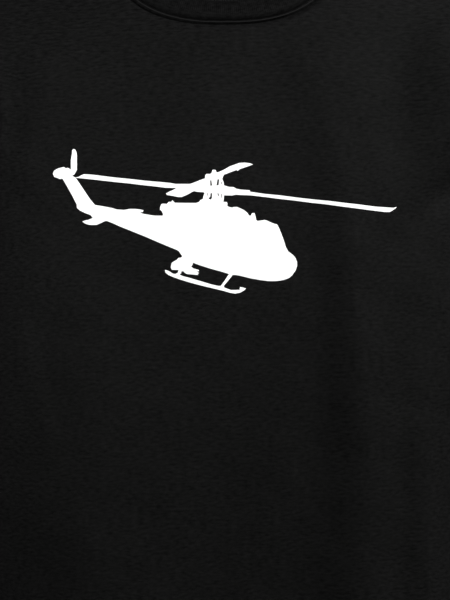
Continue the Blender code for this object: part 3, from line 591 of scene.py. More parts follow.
def sheet_mesh(name, outer, inner, faces, uvs, material):
    """A closed cloth piece from two layers of matching points; the faces belong to the outer layer."""
    count = len(outer)
    faces = [tuple(int(index) for index in face) for face in faces]
    edges = set()
    for face in faces:
        edges.update(zip(face, face[1:] + face[:1]))
    rim = sorted((end, start, start + count, end + count)
                 for start, end in edges if (end, start) not in edges)
    under = [tuple(index + count for index in reversed(face)) for face in faces]
    piece = add_piece(name, np.concatenate((outer, inner)), faces + under + rim, material,
                      np.concatenate((uvs, uvs)))
    piece.data.set_sharp_from_angle(angle=SHARP_ANGLE)
    return piece


def grid_faces(rows, columns, closed):
    faces = []
    for row in range(rows - 1):
        for column in range(columns if closed else columns - 1):
            after = (column + 1) % columns
            faces.append((row * columns + column, row * columns + after,
                          (row + 1) * columns + after, (row + 1) * columns + column))
    return faces


def tube_faces(rows, columns):
    """The faces of rings that close on themselves, the last ring joined to the first."""
    last = (rows - 1) * columns
    return grid_faces(rows, columns, True) + [
        (last + column, last + (column + 1) % columns, (column + 1) % columns, column)
        for column in range(columns)]


def turned_over(faces):
    return [tuple(reversed(face)) for face in faces]


def inside_outline(outline, places):
    """Which places lie inside a closed outline."""
    inside = np.zeros(len(places), bool)
    x, y = places[:, 0], places[:, 1]
    for (x0, y0), (x1, y1) in zip(outline, np.roll(outline, -1, axis=0)):
        if y0 == y1:
            continue
        crosses = ((y0 > y) != (y1 > y)) & (x < x0 + (y - y0) * (x1 - x0) / (y1 - y0))
        inside ^= crosses
    return inside


def offset_rows(run, distances):
    """Copies of a run shifted inwards, to give the cloth beside a seam enough points."""
    way = unit(np.gradient(run, axis=0))
    inward = np.stack((-way[:, 1], way[:, 0]), axis=1)
    return np.concatenate([run + inward * distance for distance in distances])


def lattice(low, high, step):
    """Points of an even triangular lattice."""
    rows = np.arange(math.floor(low[1] / step), math.ceil(high[1] / step) + 1)
    columns = np.arange(math.floor(low[0] / step) - 1, math.ceil(high[0] / step) + 2)
    x, y = np.meshgrid(columns * step, rows * step)
    return np.stack(((x + 0.5 * step * (rows % 2)[:, None]).ravel(), y.ravel()), axis=1)


def triangulate(outlines, holes, inner):
    """Triangles that fill the outlines, less the holes, using the given inner points."""
    places = []
    loops = []
    for outline in list(outlines) + list(holes):
        loops.append(list(range(len(places), len(places) + len(outline))))
        places += [Vector(point) for point in outline]
    places += [Vector(point) for point in inner]
    result = geometry.delaunay_2d_cdt(places, [], loops, 1, 1e-7)
    points = np.array([tuple(point) for point in result[0]])
    faces = np.array([tuple(face) for face in result[2]])
    middles = points[faces].mean(axis=1)
    keep = np.zeros(len(faces), bool)
    for outline in outlines:
        keep |= inside_outline(np.asarray(outline), middles)
    for hole in holes:
        keep &= ~inside_outline(np.asarray(hole), middles)
    faces = faces[keep]
    used = np.unique(faces)
    renumber = np.full(len(points), -1)
    renumber[used] = np.arange(len(used))
    return points[used], renumber[faces]


def panel_places(side):
    """The triangulated flat shape of a body panel."""
    runs = RUNS[side]
    right = np.concatenate((runs["shoulder"][1:-1], runs["armhole"][:-1], runs["side"][:-1]))
    outline = np.concatenate((runs["neck"], right, runs["hem"][::-1], mirrored(right)[::-1]))
    rows = [offset_rows(runs["neck"], NECK_ROWS)]
    for name in ("shoulder", "armhole", "side"):
        row = offset_rows(runs[name], SEAM_ROWS)
        rows += [row, mirrored(row)]
    rows += [runs["hem"] - np.array((0.0, up)) for up in HEM_ROWS]
    close = np.concatenate(rows)
    grid = lattice(outline.min(axis=0), outline.max(axis=0), CLOTH_STEP)
    near_edge = np.minimum(run_distance(grid, outline), run_distance(grid, outline[[-1, 0]]))
    hem_gap = hem_place(side, grid[:, 0], HEM_Z) - grid[:, 1]
    grid = grid[inside_outline(outline, grid) & (near_edge > CLOTH_EDGE_GAP) & (hem_gap > CLOTH_HEM_GAP)]
    close = close[inside_outline(outline, close)]
    close = close[run_distance(close, np.concatenate((outline, outline[:1]))) > EDGE_GAP]
    return triangulate([outline], [], np.concatenate((close[thinned(close, EDGE_GAP)], grid)))


def thinned(points, gap):
    """Which points to keep so that no two fall in the same small cell."""
    cells = np.round(points / gap).astype(np.int64)
    return np.sort(np.unique(cells, axis=0, return_index=True)[1])


def knit_places(places):
    """Places on the flat cloth, with the knitted rows level where the shirt is worn."""
    places = np.asarray(places, float)
    across = np.interp(np.abs(places[:, 0]), ROUND_LENGTH, ACROSS)
    return np.stack((places[:, 0], places[:, 1] - ridge_height(across)), axis=1)


def make_panel(name, side, material):
    places, faces = panel_places(side)
    outer = body_cloth(side, places)
    inner = body_cloth(side, places, CLOTH_THICKNESS)
    faces = [tuple(face) for face in faces]
    if side == "front":
        faces = turned_over(faces)
    piece = sheet_mesh(name, outer, inner, faces, knit_places(places), material)
    return piece, outer, faces


def armhole_loop(half_count, sign):
    """The folded armhole seam in space on one side, from the shoulder point round by the front."""
    curve = armhole_curve(count=half_count)
    halves = []
    for side in ("front", "back"):
        places = body_place(side, sign * curve[:, 0], curve[:, 1])
        places[0, 1] = 0.0
        places[-1, 0] = sign * HALF_PANEL
        halves.append(body_cloth(side, places))
    return np.concatenate((halves[0], halves[1][1:-1][::-1]))


def sleeve_base(root, turn, share, sign):
    """The smooth sleeve tube: turn goes round from the top by the front, share from armhole to mouth."""
    flip = np.array((sign, 1.0, 1.0))
    axis = np.array((math.sin(SLEEVE_ANGLE), 0.0, -math.cos(SLEEVE_ANGLE)))
    up = np.array((math.cos(SLEEVE_ANGLE), 0.0, math.sin(SLEEVE_ANGLE)))
    cosine, sine = np.cos(turn)[..., None], np.sin(turn)[..., None]
    mouth = SLEEVE_MOUTH_CENTRE + up * SLEEVE_MOUTH_HALF_HEIGHT * cosine
    mouth = mouth - np.array((0.0, SLEEVE_MOUTH_HALF_DEPTH, 0.0)) * sine
    upper = 0.5 + 0.5 * cosine
    start = (axis + (SLEEVE_TOP_WAY - axis) * upper) * (SLEEVE_ROOT_REACH * (SLEEVE_UNDER_SHARE + upper))
    finish = axis * (SLEEVE_MOUTH_REACH * (0.5 + 0.5 * upper))
    t = share[..., None]
    a, b = t * t, t * t * t
    return (root * (2 * b - 3 * a + 1) + start * flip * (b - 2 * a + t)
            + mouth * flip * (3 * a - 2 * b) + finish * flip * (b - a))


# A sleeve laid flat for its folds, how much longer it is than a straight line, where its folds and its
# ripples are fully up, as shares of its length, how fast the phase of the ripples changes along it, and
# how the folds of the -X sleeve are stretched
SLEEVE_GIRTH_RADIUS = 0.058
SLEEVE_FOLD_LENGTH = 0.165
SLEEVE_CURVE = 1.03
SLEEVE_FOLD_START = 0.10
SLEEVE_RIPPLE_START = 0.15
SLEEVE_RIPPLE_RISE = 1.6
OTHER_SLEEVE_STRETCH = (0.94, 1.06)

# Sleeve folds, in millimetres: round from the top (+ to the front) and along from the armhole
SLEEVE_FOLDS = [
    ([(172, 4), (150, 30), (112, 58), (66, 92)], (7, 11), (2.4, 3.0, 2.2, 0), 1.0),
    ([(160, 2), (130, 30), (92, 52), (40, 78)], (6, 10), (-2.6, -2.4, -1.4, 0), 1.0),
    ([(176, 30), (146, 62), (104, 96), (70, 140)], (8, 12), (-2.0, -3.0, -2.4, -0.8), 1.0),
    ([(-172, 4), (-148, 32), (-110, 60), (-62, 90)], (7, 11), (2.4, 3.0, 2.2, 0), 1.0),
    ([(-160, 2), (-130, 26), (-96, 48), (-44, 74)], (6, 10), (-2.6, -2.4, -1.4, 0), 1.0),
    ([(-176, 34), (-142, 66), (-104, 100), (-76, 150)], (8, 12), (-2.0, -3.0, -2.2, -0.8), 1.0),
    ([(66, 70), (52, 110), (44, 175)], (12, 14), (0, 2.2, 3.2), 1.0),
    ([(20, 90), (14, 130), (10, 175)], (13, 16), (0, -2.0, -2.8), 1.0),
    ([(-30, 80), (-34, 120), (-38, 175)], (12, 15), (0, 2.2, 3.4), 1.0),
    ([(-70, 96), (-74, 130), (-78, 175)], (11, 14), (0, -1.6, -2.4), 1.0),
    ([(92, 110), (88, 140), (86, 175)], (10, 13), (0, -1.4, -2.2), 1.0),
    ([(128, 100), (129, 140), (130, 175)], (11, 13), (0, 2.0, 2.4), 1.0),
    ([(-122, 104), (-123, 140), (-124, 175)], (11, 13), (0, 2.0, 2.4), 1.0),
]


def sleeve_fold(turn, share, sign):
    """Fold heights on a sleeve; the second sleeve's folds lie a little differently."""
    stretch = np.array(OTHER_SLEEVE_STRETCH) if sign < 0.0 else np.ones(2)
    folds = [fold_curve(np.array(path, float) * stretch, widths, heights, lean)
             for path, widths, heights, lean in SLEEVE_FOLDS]
    places = np.stack((turn * SLEEVE_GIRTH_RADIUS, share * SLEEVE_FOLD_LENGTH), axis=1)
    height = fold_sum(places, folds, 2.0 * math.pi * SLEEVE_GIRTH_RADIUS)
    height *= smooth_step(share / SLEEVE_FOLD_START)
    for rounds, upward, phase, size in RIPPLES:
        wave = np.sin(np.round(rounds / 3.0) * turn + upward * share * SLEEVE_RIPPLE_RISE + phase + sign)
        height += size * smooth_step(share / SLEEVE_RIPPLE_START) * wave
    return height


def sleeve_edges(share, turn, length):
    """The dip at the armhole seam, the doubled hem and its stitch rows."""
    from_root = share * length
    around = turn * SLEEVE_GIRTH_RADIUS
    height = bumps(from_root, SLEEVE_BUMPS) + gathers(from_root, around, *SLEEVE_GATHERS)
    return height + hem_shape((1.0 - share) * length, around, SLEEVE_HEM_GATHERS)


class Sleeve:
    """One sleeve's tube, with its folds."""

    def __init__(self, sign):
        self.sign = sign
        self.loop = armhole_loop(SLEEVE_COLUMNS // 2, sign)
        self.count = len(self.loop)
        self.turns = np.linspace(0.0, 2.0 * math.pi, self.count, endpoint=False)
        mouth = sleeve_base(self.loop, self.turns, np.ones(self.count), sign)
        self.lengths = np.linalg.norm(mouth - self.loop, axis=1) * SLEEVE_CURVE

    def rings(self, shares, depth, edges=True):
        """Rings of points at shares of the length, row by row, at a depth under the outer face."""
        rows = len(shares)
        loop = np.tile(self.loop, (rows, 1))
        turn = np.tile(self.turns, rows)
        share = np.repeat(np.asarray(shares, float), self.count)
        base = sleeve_base(loop, turn, share, self.sign)
        grid = base.reshape(rows, self.count, 3)
        around = (np.roll(grid, -1, axis=1) - np.roll(grid, 1, axis=1)).reshape(-1, 3)
        along = sleeve_base(loop, turn, np.minimum(share + SHARE_STEP, 1.0), self.sign)
        along = along - sleeve_base(loop, turn, np.maximum(share - SHARE_STEP, 0.0), self.sign)
        normal = unit(np.cross(around, along)) * self.sign
        height = sleeve_fold(turn, share, self.sign)
        if edges:
            height = height + sleeve_edges(share, turn, np.tile(self.lengths, rows))
        return base + normal * (height - depth)[:, None]

    def band(self, name, shares, depth, thickness, material, edges=True):
        """A closed band of cloth round the sleeve."""
        outer = self.rings(shares, depth, edges)
        inner = self.rings(shares, depth + thickness, edges)
        faces = grid_faces(len(shares), self.count, True)
        if self.sign < 0.0:
            faces = turned_over(faces)
        length = float(self.lengths.mean())
        uvs = np.stack((np.tile(self.turns * SLEEVE_GIRTH_RADIUS, len(shares)),
                        np.repeat(np.asarray(shares, float) * length, self.count)), axis=1)
        return sheet_mesh(name, outer, inner, faces, uvs, material)

    def share_of(self, length):
        return length / float(self.lengths.mean())


def sleeve_shares(sleeve):
    """Rows from seam to mouth, close together beside the seam, the stitch rows and the edge."""
    first = [sleeve.share_of(length) for length in SLEEVE_SEAM_ROWS]
    last = [1.0 - sleeve.share_of(length) for length in SLEEVE_HEM_ROWS]
    middle = np.linspace(first[-1], last[0], SLEEVE_ROWS)[1:-1]
    return first + list(middle) + last


def stitch_shapes(centres, ways, ups):
    """Small rounded stitches: points and faces for one at each centre, lying along its way."""
    points, faces = [], []
    across = unit(np.cross(ways, ups))
    for centre, way, up, side in zip(centres, ways, ups, across):
        base = len(points)
        for along, size in STITCH_PROFILE:
            for step in range(STITCH_SIDES):
                angle = 2.0 * math.pi * step / STITCH_SIDES
                swing = side * math.cos(angle) + up * math.sin(angle) * STITCH_FLATNESS
                points.append(centre + way * along * STITCH_LENGTH + swing * STITCH_RADIUS * size)
        rings = grid_faces(len(STITCH_PROFILE), STITCH_SIDES, True)
        end = (len(STITCH_PROFILE) - 1) * STITCH_SIDES
        caps = [tuple(reversed(range(STITCH_SIDES))), tuple(range(end, end + STITCH_SIDES))]
        faces += [tuple(base + index for index in face) for face in rings + caps]
    return points, faces


def make_stitches(name, rows, material):
    """Rows of stitches on given closed lines of (points, outward ways)."""
    all_points, all_faces = [], []
    for line, outward in rows:
        line, outward = (np.concatenate((run, run[:1])) for run in (line, outward))
        length = arc_length(line)
        count = int(length[-1] / STITCH_PITCH)
        marks = (np.arange(count) + 0.5) * length[-1] / count
        ups = unit(points_at(outward, length, marks))
        centres = points_at(line, length, marks) + ups * STITCH_LIFT
        ahead, behind = (points_at(line, length, marks + sight * STITCH_PITCH)
                         for sight in (STITCH_SIGHT, -STITCH_SIGHT))
        points, faces = stitch_shapes(centres, unit(ahead - behind), ups)
        shift = len(all_points)
        all_points += points
        all_faces += [tuple(index + shift for index in face) for face in faces]
    return add_piece(name, all_points, all_faces, material)


def neck_loop(count):
    """The folded neck seam in space, evenly spaced, from the left shoulder seam round by the front."""
    front = neckline("front", NECK_SAMPLES)
    back = neckline("back", NECK_SAMPLES)[::-1]
    front_points = body_cloth("front", body_place("front", front[:, 0], front[:, 1]), edges=False)
    back_points = body_cloth("back", body_place("back", back[:, 0], back[:, 1]), edges=False)
    loop = np.concatenate((front_points, back_points[1:]))
    length = arc_length(loop)
    soft = points_at(loop, length, np.linspace(0.0, length[-1], count, endpoint=False))
    for _ in range(NECK_SMOOTHINGS):
        soft = 0.5 * soft + 0.25 * (np.roll(soft, 1, axis=0) + np.roll(soft, -1, axis=0))
    return soft


def neckband_rings(loop, shares, depth, ribs):
    """Rings of the neckband from its seam up to its fold, with its ribs standing out."""
    rings = []
    count = len(loop)
    rib_turn = 2.0 * math.pi * RIB_COUNT * np.arange(count) / count
    rise = np.array((0.0, 0.0, NECKBAND_HEIGHT))
    up = rise + loop * np.array((NECKBAND_LEAN - 1.0, NECKBAND_LEAN - 1.0, 0.0))
    for share in shares:
        lean = 1.0 + (NECKBAND_LEAN - 1.0) * share
        to_crest = max(1.0 - share * NECKBAND_HEIGHT / NECKBAND_ROLL, 0.0)
        past_crest = max(share * NECKBAND_HEIGHT - NECKBAND_ROLL, 0.0) / (NECKBAND_HEIGHT - NECKBAND_ROLL)
        fall = NECKBAND_FALL * min(past_crest, 1.0) ** 2
        swell = NECKBAND_BULGE * (math.sqrt(1.0 - to_crest ** 2) - fall)
        base = loop * np.array((lean, lean, 1.0)) + rise * share
        normal = unit(np.cross(np.roll(base, -1, axis=0) - np.roll(base, 1, axis=0), up))
        fine = ribs * math.sin(math.pi * min(max(share, RIB_ENDS[0]), RIB_ENDS[1])) ** 0.25
        height = swell - NECKBAND_SEAT + fine * np.cos(rib_turn)
        rings.append(base + normal * (height - depth)[:, None])
    return rings


def make_neckband(material):
    """The folded rib band: its outer and inner faces meet in a rounded fold along the top."""
    count = RIB_COUNT * RIB_SAMPLES
    loop = neck_loop(count)
    outer = neckband_rings(loop, NECKBAND_RISE, 0.0, RIB_RELIEF)
    fold = neckband_rings(loop, [NECKBAND_FOLD_SHARE], 0.5 * RIB_THICKNESS, 0.0)
    inner = neckband_rings(loop, NECKBAND_RISE, RIB_THICKNESS, -RIB_RELIEF)
    rings = outer + fold + inner[::-1]
    length = arc_length(loop)[-1]
    uvs = np.stack((np.tile(np.arange(count) * length / count, len(rings)),
                    np.repeat(np.linspace(0.0, 2.0 * NECKBAND_HEIGHT, len(rings)), count)), axis=1)
    faces = tube_faces(len(rings), count)
    piece = add_piece("neckband_rib", np.concatenate(rings), faces, material, uvs)
    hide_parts("neckband")
    return piece


def make_neck_welt(material):
    """The fine welt all round, where the panels turn over the neck seam. Its relief is real, but its lighter
    thread colour partly stands in for the highlight along the neck line: painted highlight.
    """
    count = 2 * RIB_COUNT
    loop = neck_loop(count)
    around = unit(np.roll(loop, -1, axis=0) - np.roll(loop, 1, axis=0))
    outward = unit(np.cross(around, (0.0, 0.0, 1.0)))
    upward = np.cross(outward, around)
    middle = loop + outward * NECK_WELT_OUT - upward * NECK_WELT_DOWN
    rings = []
    for angle in np.linspace(0.0, 2.0 * math.pi, NECK_WELT_SIDES, endpoint=False):
        rings.append(middle + (outward * math.cos(angle) + upward * math.sin(angle)) * NECK_WELT_RADIUS)
    faces = tube_faces(NECK_WELT_SIDES, count)
    return add_piece("neck_seam_welt", np.concatenate(rings), faces, material)


# The printed figure, drawn on a grid of one photograph pixel; its zero is this pixel
PRINT_ZERO = (225.0, 220.0)
TAIL_BLADE = [
    (-154, 50), (-154, 60), (-153, 66), (-152.6, 70), (-151.5, 71), (-149.8, 70.5), (-148.4, 68),
    (-148, 65), (-148, 50), (-149.5, 47.5), (-150.5, 45.5), (-157, 42),
]
TAIL_HUB = [
    (-172, 46), (-171, 49), (-168, 51), (-165, 52), (-161, 53), (-159, 51.6), (-157, 52.2), (-152, 49),
    (-153, 44.5), (-157, 40), (-162, 41.6), (-165, 40.8), (-167.5, 42), (-170.5, 43),
]
TAIL_FIN = [
    (-163, 42), (-158, 47), (-149.3, 42.2), (-145, 36), (-140, 28.5), (-135, 21), (-130, 15), (-122, 6),
    (-134.5, 5), (-140, 7), (-145, 9.5), (-148, 12), (-148.2, 15.5), (-152.5, 24), (-157.5, 33), (-161, 39),
]
STABILIZER = [
    (-142.5, -1.5), (-140, -0.6), (-137, 0), (-132, 2), (-134.5, 5), (-115, 5), (-117, -1), (-119.5, -1),
    (-124, -3), (-128, -4.8), (-132, -5), (-136, -4.8), (-140, -3.5),
]
BODY = [
    (-134.5, 5), (-130, 15), (-120, 13.3), (-113, 12), (-108, 10.5), (-101, 10), (-95, 11), (-89, 11),
    (-85, 10.5), (-81.5, 9.8), (-82, 8), (-85, 7.5), (-82, 6.2), (-75, 5), (-70, 4.3), (-62.5, 4.2),
    (-61.8, 5.5), (-63, 8.5), (-65, 10.5), (-64.6, 13.5), (-63.5, 15.9), (-62, 16.3), (-58, 16),
    (-56.5, 18), (-53.5, 18.2), (-52.5, 19.8), (-50.8, 17.8), (-50, 17.2), (-40, 17), (-29, 17), (-26, 18),
    (-24.5, 20), (-20, 22), (-2, 20), (-1.5, 18), (1.5, 18), (2.4, 16.5), (2.2, 14), (4, 13), (7, 12.4),
    (9, 13), (12, 13), (16, 11.4), (19.5, 9.5), (22.5, 7), (24.2, 4.4), (25.8, 4.4), (27, 6.9), (29.6, 6.9),
    (30.4, 4), (31.4, -0.4), (33, -0.9), (39.5, 0), (42, -0.5), (45, -2), (50, -4), (52, -4.3), (54, -8),
    (56.5, -14), (59, -21), (61, -27.5), (63.3, -31.5), (65, -32.7), (68, -35), (70.5, -38), (72, -42),
    (72, -46), (70.5, -50.5), (67, -55.5), (64, -58), (60, -59.5), (55, -60.7), (50, -61.1), (43, -61),
    (35, -60), (25, -58.2), (15, -55.7), (11, -55), (6, -54.8), (1, -53), (-5, -51.2), (-15, -48.5),
    (-25, -45.3), (-32, -42.7), (-32.5, -45), (-33.8, -46.5), (-31.5, -48.5), (-26, -50), (-26.5, -51.5),
    (-28, -51), (-26, -53.4), (-27.5, -53.7), (-26.8, -55), (-38, -54), (-40, -53), (-41.5, -51.3),
    (-43.5, -51.3), (-44, -54), (-46.5, -50), (-53, -49.8), (-54.2, -47.5), (-53.3, -43), (-51, -41.3),
    (-48.5, -40), (-46.5, -37.9), (-44, -37.6), (-42.6, -36.3), (-44.5, -33.5), (-46, -31.3), (-48, -30),
    (-55, -27.2), (-65, -23), (-80, -16.5), (-95, -10.5), (-105, -6.5), (-112, -3.3), (-118, -1),
]
LONG_BLADE = [
    (-150, 42.2), (-146, 43.2), (-144, 44.5), (-141, 45.7), (-137, 45.6), (-130, 45), (-120, 43.7),
    (-110, 42.5), (-95, 41), (-80, 39.3), (-65, 38), (-55, 37), (-49, 36), (-35, 36), (-32, 37),
    (-28, 38.5), (-25, 39.8), (-20, 41.5), (0, 34.2), (4, 33), (8.5, 32.9), (11, 31.3), (15, 30.4),
    (24.6, 29.7), (25.2, 28.2), (40, 26), (55, 24.6), (75, 22), (90, 20.4), (105, 19), (120, 17),
    (135, 15.3), (150, 13.3), (160, 12.7), (168, 12.2), (171.8, 13), (170, 11.3), (167, 9.3), (164.5, 8),
    (159.5, 8), (145, 9.8), (130, 11.8), (115, 13.7), (100, 15.8), (85, 17.4), (70, 19.4), (55, 21),
    (40, 23), (25, 24.7), (15, 25), (11, 25.4), (7, 24.5), (-1, 24.7), (-19, 27), (-22, 27.8), (-28, 28.2),
    (-31, 28.8), (-33, 28), (-36, 26.2), (-40.5, 24), (-43.5, 23), (-47, 23), (-53, 24.2), (-58, 25),
    (-59, 26.5), (-56, 28.2), (-53, 29.5), (-49, 31.5), (-50, 32), (-60, 32.3), (-70, 33.6), (-85, 35.2),
    (-95, 36.5), (-110, 38), (-125, 39.7), (-135, 40.8), (-145, 41.8),
]
MAST = [
    (-25, 17), (-22.5, 19.5), (-21.8, 23), (-20.5, 27), (-20, 42), (-19.6, 45), (-18.5, 46), (-15, 46),
    (-13.5, 47), (-12.7, 49.8), (-11.5, 50.2), (-9.5, 50), (-8.8, 48.5), (-8, 47.5), (-6, 48), (-1, 50.3),
    (5, 53.7), (11, 55.8), (14, 57), (20, 57.3), (25, 56.7), (27.9, 55.5), (25, 54.4), (21, 53), (15, 51),
    (12.5, 49), (11.5, 50), (6, 48), (1, 46), (-1, 45.4), (-2, 43.5), (-2.8, 41), (-1.5, 38), (-1, 34),
    (-1, 24.8), (-1.2, 22), (-1.8, 17.5),
]
SKID = [
    (-60, -50), (-58, -50.2), (-54.5, -52), (-52, -53.7), (-49.5, -54), (-47, -52.6), (-46.4, -50),
    (-46, -48), (-42.5, -48), (-43.6, -51), (-45, -54.8), (-42.5, -56), (-35, -58), (-25, -61), (-15, -64),
    (-7, -66), (-4.2, -65.8), (-1, -61.5), (4, -54), (8, -54.5), (4.5, -59), (-1, -65.5), (-1, -67.5),
    (3, -69), (6, -70), (10, -70), (14.5, -69.8), (15, -67), (18, -67.5), (21, -68.5), (19, -70.5),
    (15, -72.7), (10, -73.6), (5, -72.8), (-1, -71), (-15, -67.6), (-25, -65.2), (-35, -62.5), (-45, -59.5),
    (-52, -57), (-56.5, -55), (-59.5, -52.5),
]
MAST_GAPS = [
    [(-14.9, 39.6), (-13.6, 39.8), (-13, 34.4), (-14.8, 34.2)],
    [(-7.6, 40.6), (-5.9, 40.8), (-6.4, 35), (-8.6, 34.3)],
    [(-3.8, 38), (-3, 38), (-3.1, 35.7), (-3.7, 35.7)],
    [(-18, 26.8), (-17.1, 26.8), (-17.2, 24.2), (-17.7, 24.4)],
    [(-14.6, 26.6), (-13, 26.9), (-13, 22.4), (-14, 20.3), (-16.6, 21.2), (-14.8, 23.4)],
    [(-7.8, 26.8), (-6.5, 26.6), (-6, 23.8), (-7, 24)],
    [(-3.9, 26), (-3, 26), (-3.2, 22.2), (-3.8, 22.2)],
]


def make_print(panel_points, panel_faces, material):
    """The ink skin: each place of the drawing is thrown from the camera onto the folded front panel."""
    shapes = [TAIL_BLADE, TAIL_HUB, TAIL_FIN, STABILIZER, BODY, LONG_BLADE, MAST, SKID]
    outlines = [np.concatenate([resample((start, end), PRINT_STEP)[:-1]
                                for start, end in zip(shape, shape[1:] + shape[:1])]) for shape in shapes]
    holes = [np.array(gap, float) for gap in MAST_GAPS]
    low = np.min([outline.min(axis=0) for outline in outlines], axis=0)
    high = np.max([outline.max(axis=0) for outline in outlines], axis=0)
    grid = lattice(low, high, PRINT_STEP)
    inside = np.zeros(len(grid), bool)
    for outline in outlines:
        inside |= inside_outline(outline, grid)
    near = np.full(len(grid), np.inf)
    for outline in outlines + holes:
        near = np.minimum(near, run_distance(grid, np.concatenate((outline, outline[:1]))))
    places, faces = triangulate(outlines, holes, grid[inside & (near > 0.5 * PRINT_STEP)])
    tree = BVHTree.FromPolygons(panel_points.tolist(), panel_faces)
    eye = Vector((0.0, CHEST_PLANE_Y - CAMERA_DISTANCE, CAMERA_Z))
    hits, ways = [], []
    for x, z in places:
        right = (PRINT_ZERO[0] + x - IMAGE_CENTRE[0]) * PIXEL
        up = (IMAGE_CENTRE[1] - PRINT_ZERO[1] + z) * PIXEL
        hit, normal, _, _ = tree.ray_cast(eye, Vector((right, CAMERA_DISTANCE, up)).normalized())
        hits.append(tuple(hit))
        ways.append(tuple(normal))
    hits, ways = np.array(hits), np.array(ways)
    ways *= np.where(ways[:, 1:2] > 0.0, -1.0, 1.0)
    outer = hits + ways * (PRINT_LIFT + PRINT_THICKNESS)
    inner = hits + ways * PRINT_LIFT
    faces = [tuple(face) for face in faces]
    piece = sheet_mesh("print_ink", outer, inner, faces, hits[:, [0, 2]], material)
    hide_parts("chest_print")
    return piece


def new_material(name, colour, roughness):
    material = bpy.data.materials.new(name)
    material.use_nodes = True
    shader = material.node_tree.nodes["Principled BSDF"]
    shader.inputs["Base Color"].default_value = (*colour, 1.0)
    shader.inputs["Roughness"].default_value = roughness
    return material, material.node_tree, shader


def add_node(tree, kind, **settings):
    node = tree.nodes.new(kind)
    for key, value in settings.items():
        setattr(node, key, value)
    return node


def calculate(tree, operation, first, second=None):
    """The result of a math node; each input is a number or another node's output."""
    node = add_node(tree, "ShaderNodeMath", operation=operation)
    for index, value in enumerate((first, second)):
        if isinstance(value, (int, float)):
            node.inputs[index].default_value = value
        elif value is not None:
            tree.links.new(value, node.inputs[index])
    return node.outputs[0]


def flat_places(tree):
    return add_node(tree, "ShaderNodeUVMap", uv_map="cloth").outputs["UV"]


def graded(tree, shader, factor, start, end, dark, light):
    """Colours the shader from dark to light as the factor goes from start to end."""
    ramp = add_node(tree, "ShaderNodeValToRGB")
    for element, position, colour in zip(ramp.color_ramp.elements, (start, end), (dark, light)):
        element.position = position
        element.color = (*colour, 1.0)
    tree.links.new(factor, ramp.inputs["Fac"])
    tree.links.new(ramp.outputs["Color"], shader.inputs["Base Color"])


def add_relief(tree, shader, height, strength, distance):
    relief = add_node(tree, "ShaderNodeBump")
    relief.inputs["Strength"].default_value = strength
    relief.inputs["Distance"].default_value = distance
    tree.links.new(height, relief.inputs["Height"])
    tree.links.new(relief.outputs["Normal"], shader.inputs["Normal"])


def knit_height(tree, uv, wale, course):
    """The height of a plain knit: columns of small V shapes."""
    split = add_node(tree, "ShaderNodeSeparateXYZ")
    tree.links.new(uv, split.inputs[0])
    column = calculate(tree, "FRACT", calculate(tree, "DIVIDE", split.outputs[0], wale))
    slant = calculate(tree, "ABSOLUTE", calculate(tree, "SUBTRACT", column, 0.5))
    row = calculate(tree, "DIVIDE", split.outputs[1], course)
    row = calculate(tree, "ADD", row, calculate(tree, "MULTIPLY", slant, KNIT_SLANT))
    wave = calculate(tree, "SINE", calculate(tree, "MULTIPLY", row, 2.0 * math.pi))
    leg = calculate(tree, "SINE", calculate(tree, "MULTIPLY", slant, 2.0 * math.pi))
    wave = calculate(tree, "ADD", calculate(tree, "MULTIPLY", wave, 0.5), 0.6)
    return calculate(tree, "MULTIPLY", wave, leg)


def streaks(tree, uv, wide, tall):
    """Noise stretched along the rows of the knit."""
    mapping = add_node(tree, "ShaderNodeMapping")
    mapping.inputs["Scale"].default_value = (1.0 / wide, 1.0 / tall, 1.0)
    tree.links.new(uv, mapping.inputs["Vector"])
    noise = add_node(tree, "ShaderNodeTexNoise")
    noise.inputs["Scale"].default_value = 1.0
    noise.inputs["Detail"].default_value = 2.0
    noise.inputs["Roughness"].default_value = 0.6
    tree.links.new(mapping.outputs["Vector"], noise.inputs["Vector"])
    return noise.outputs["Fac"]


def knit_material(name, dark, light, wale, course):
    """Black cotton knit: streaky rows, a fine stitch relief and a little bloom of fibre ends."""
    material, tree, shader = new_material(name, (light, light, light), KNIT_ROUGHNESS)
    uv = flat_places(tree)
    rows = streaks(tree, uv, *KNIT_ROW_STREAKS)
    soft = streaks(tree, uv, *KNIT_SOFT_STREAKS)
    mixed = calculate(tree, "ADD", calculate(tree, "MULTIPLY", rows, 1.0 - KNIT_SOFT_SHARE),
                      calculate(tree, "MULTIPLY", soft, KNIT_SOFT_SHARE))
    graded(tree, shader, mixed, *KNIT_GRADE, (dark, dark, dark), (light, light, light))
    height = calculate(tree, "ADD", knit_height(tree, uv, wale, course),
                       calculate(tree, "MULTIPLY", rows, KNIT_ROW_HEIGHT))
    add_relief(tree, shader, height, *KNIT_RELIEF)
    shader.inputs["Specular IOR Level"].default_value = KNIT_SHINE
    shader.inputs["Sheen Weight"].default_value = KNIT_BLOOM
    shader.inputs["Sheen Roughness"].default_value = KNIT_BLOOM_ROUGHNESS
    return material


def ink_material():
    """Soft white screen ink, a little uneven where the knit shows through."""
    material, tree, shader = new_material("white_print_ink", INK_COLOUR, INK_ROUGHNESS)
    mottle = streaks(tree, flat_places(tree), *INK_STREAKS)
    graded(tree, shader, mottle, *INK_GRADE, *INK_WHITES)
    add_relief(tree, shader, mottle, *INK_RELIEF)
    shader.inputs["Specular IOR Level"].default_value = INK_SHINE
    return material


def floor_material():
    material, tree, shader = new_material("pale_floor", FLOOR_COLOUR, FLOOR_ROUGHNESS)
    noise = add_node(tree, "ShaderNodeTexNoise")
    noise.inputs["Scale"].default_value = FLOOR_NOISE_SCALE
    graded(tree, shader, noise.outputs["Fac"], 0.0, 1.0, *FLOOR_GREYS)
    return material


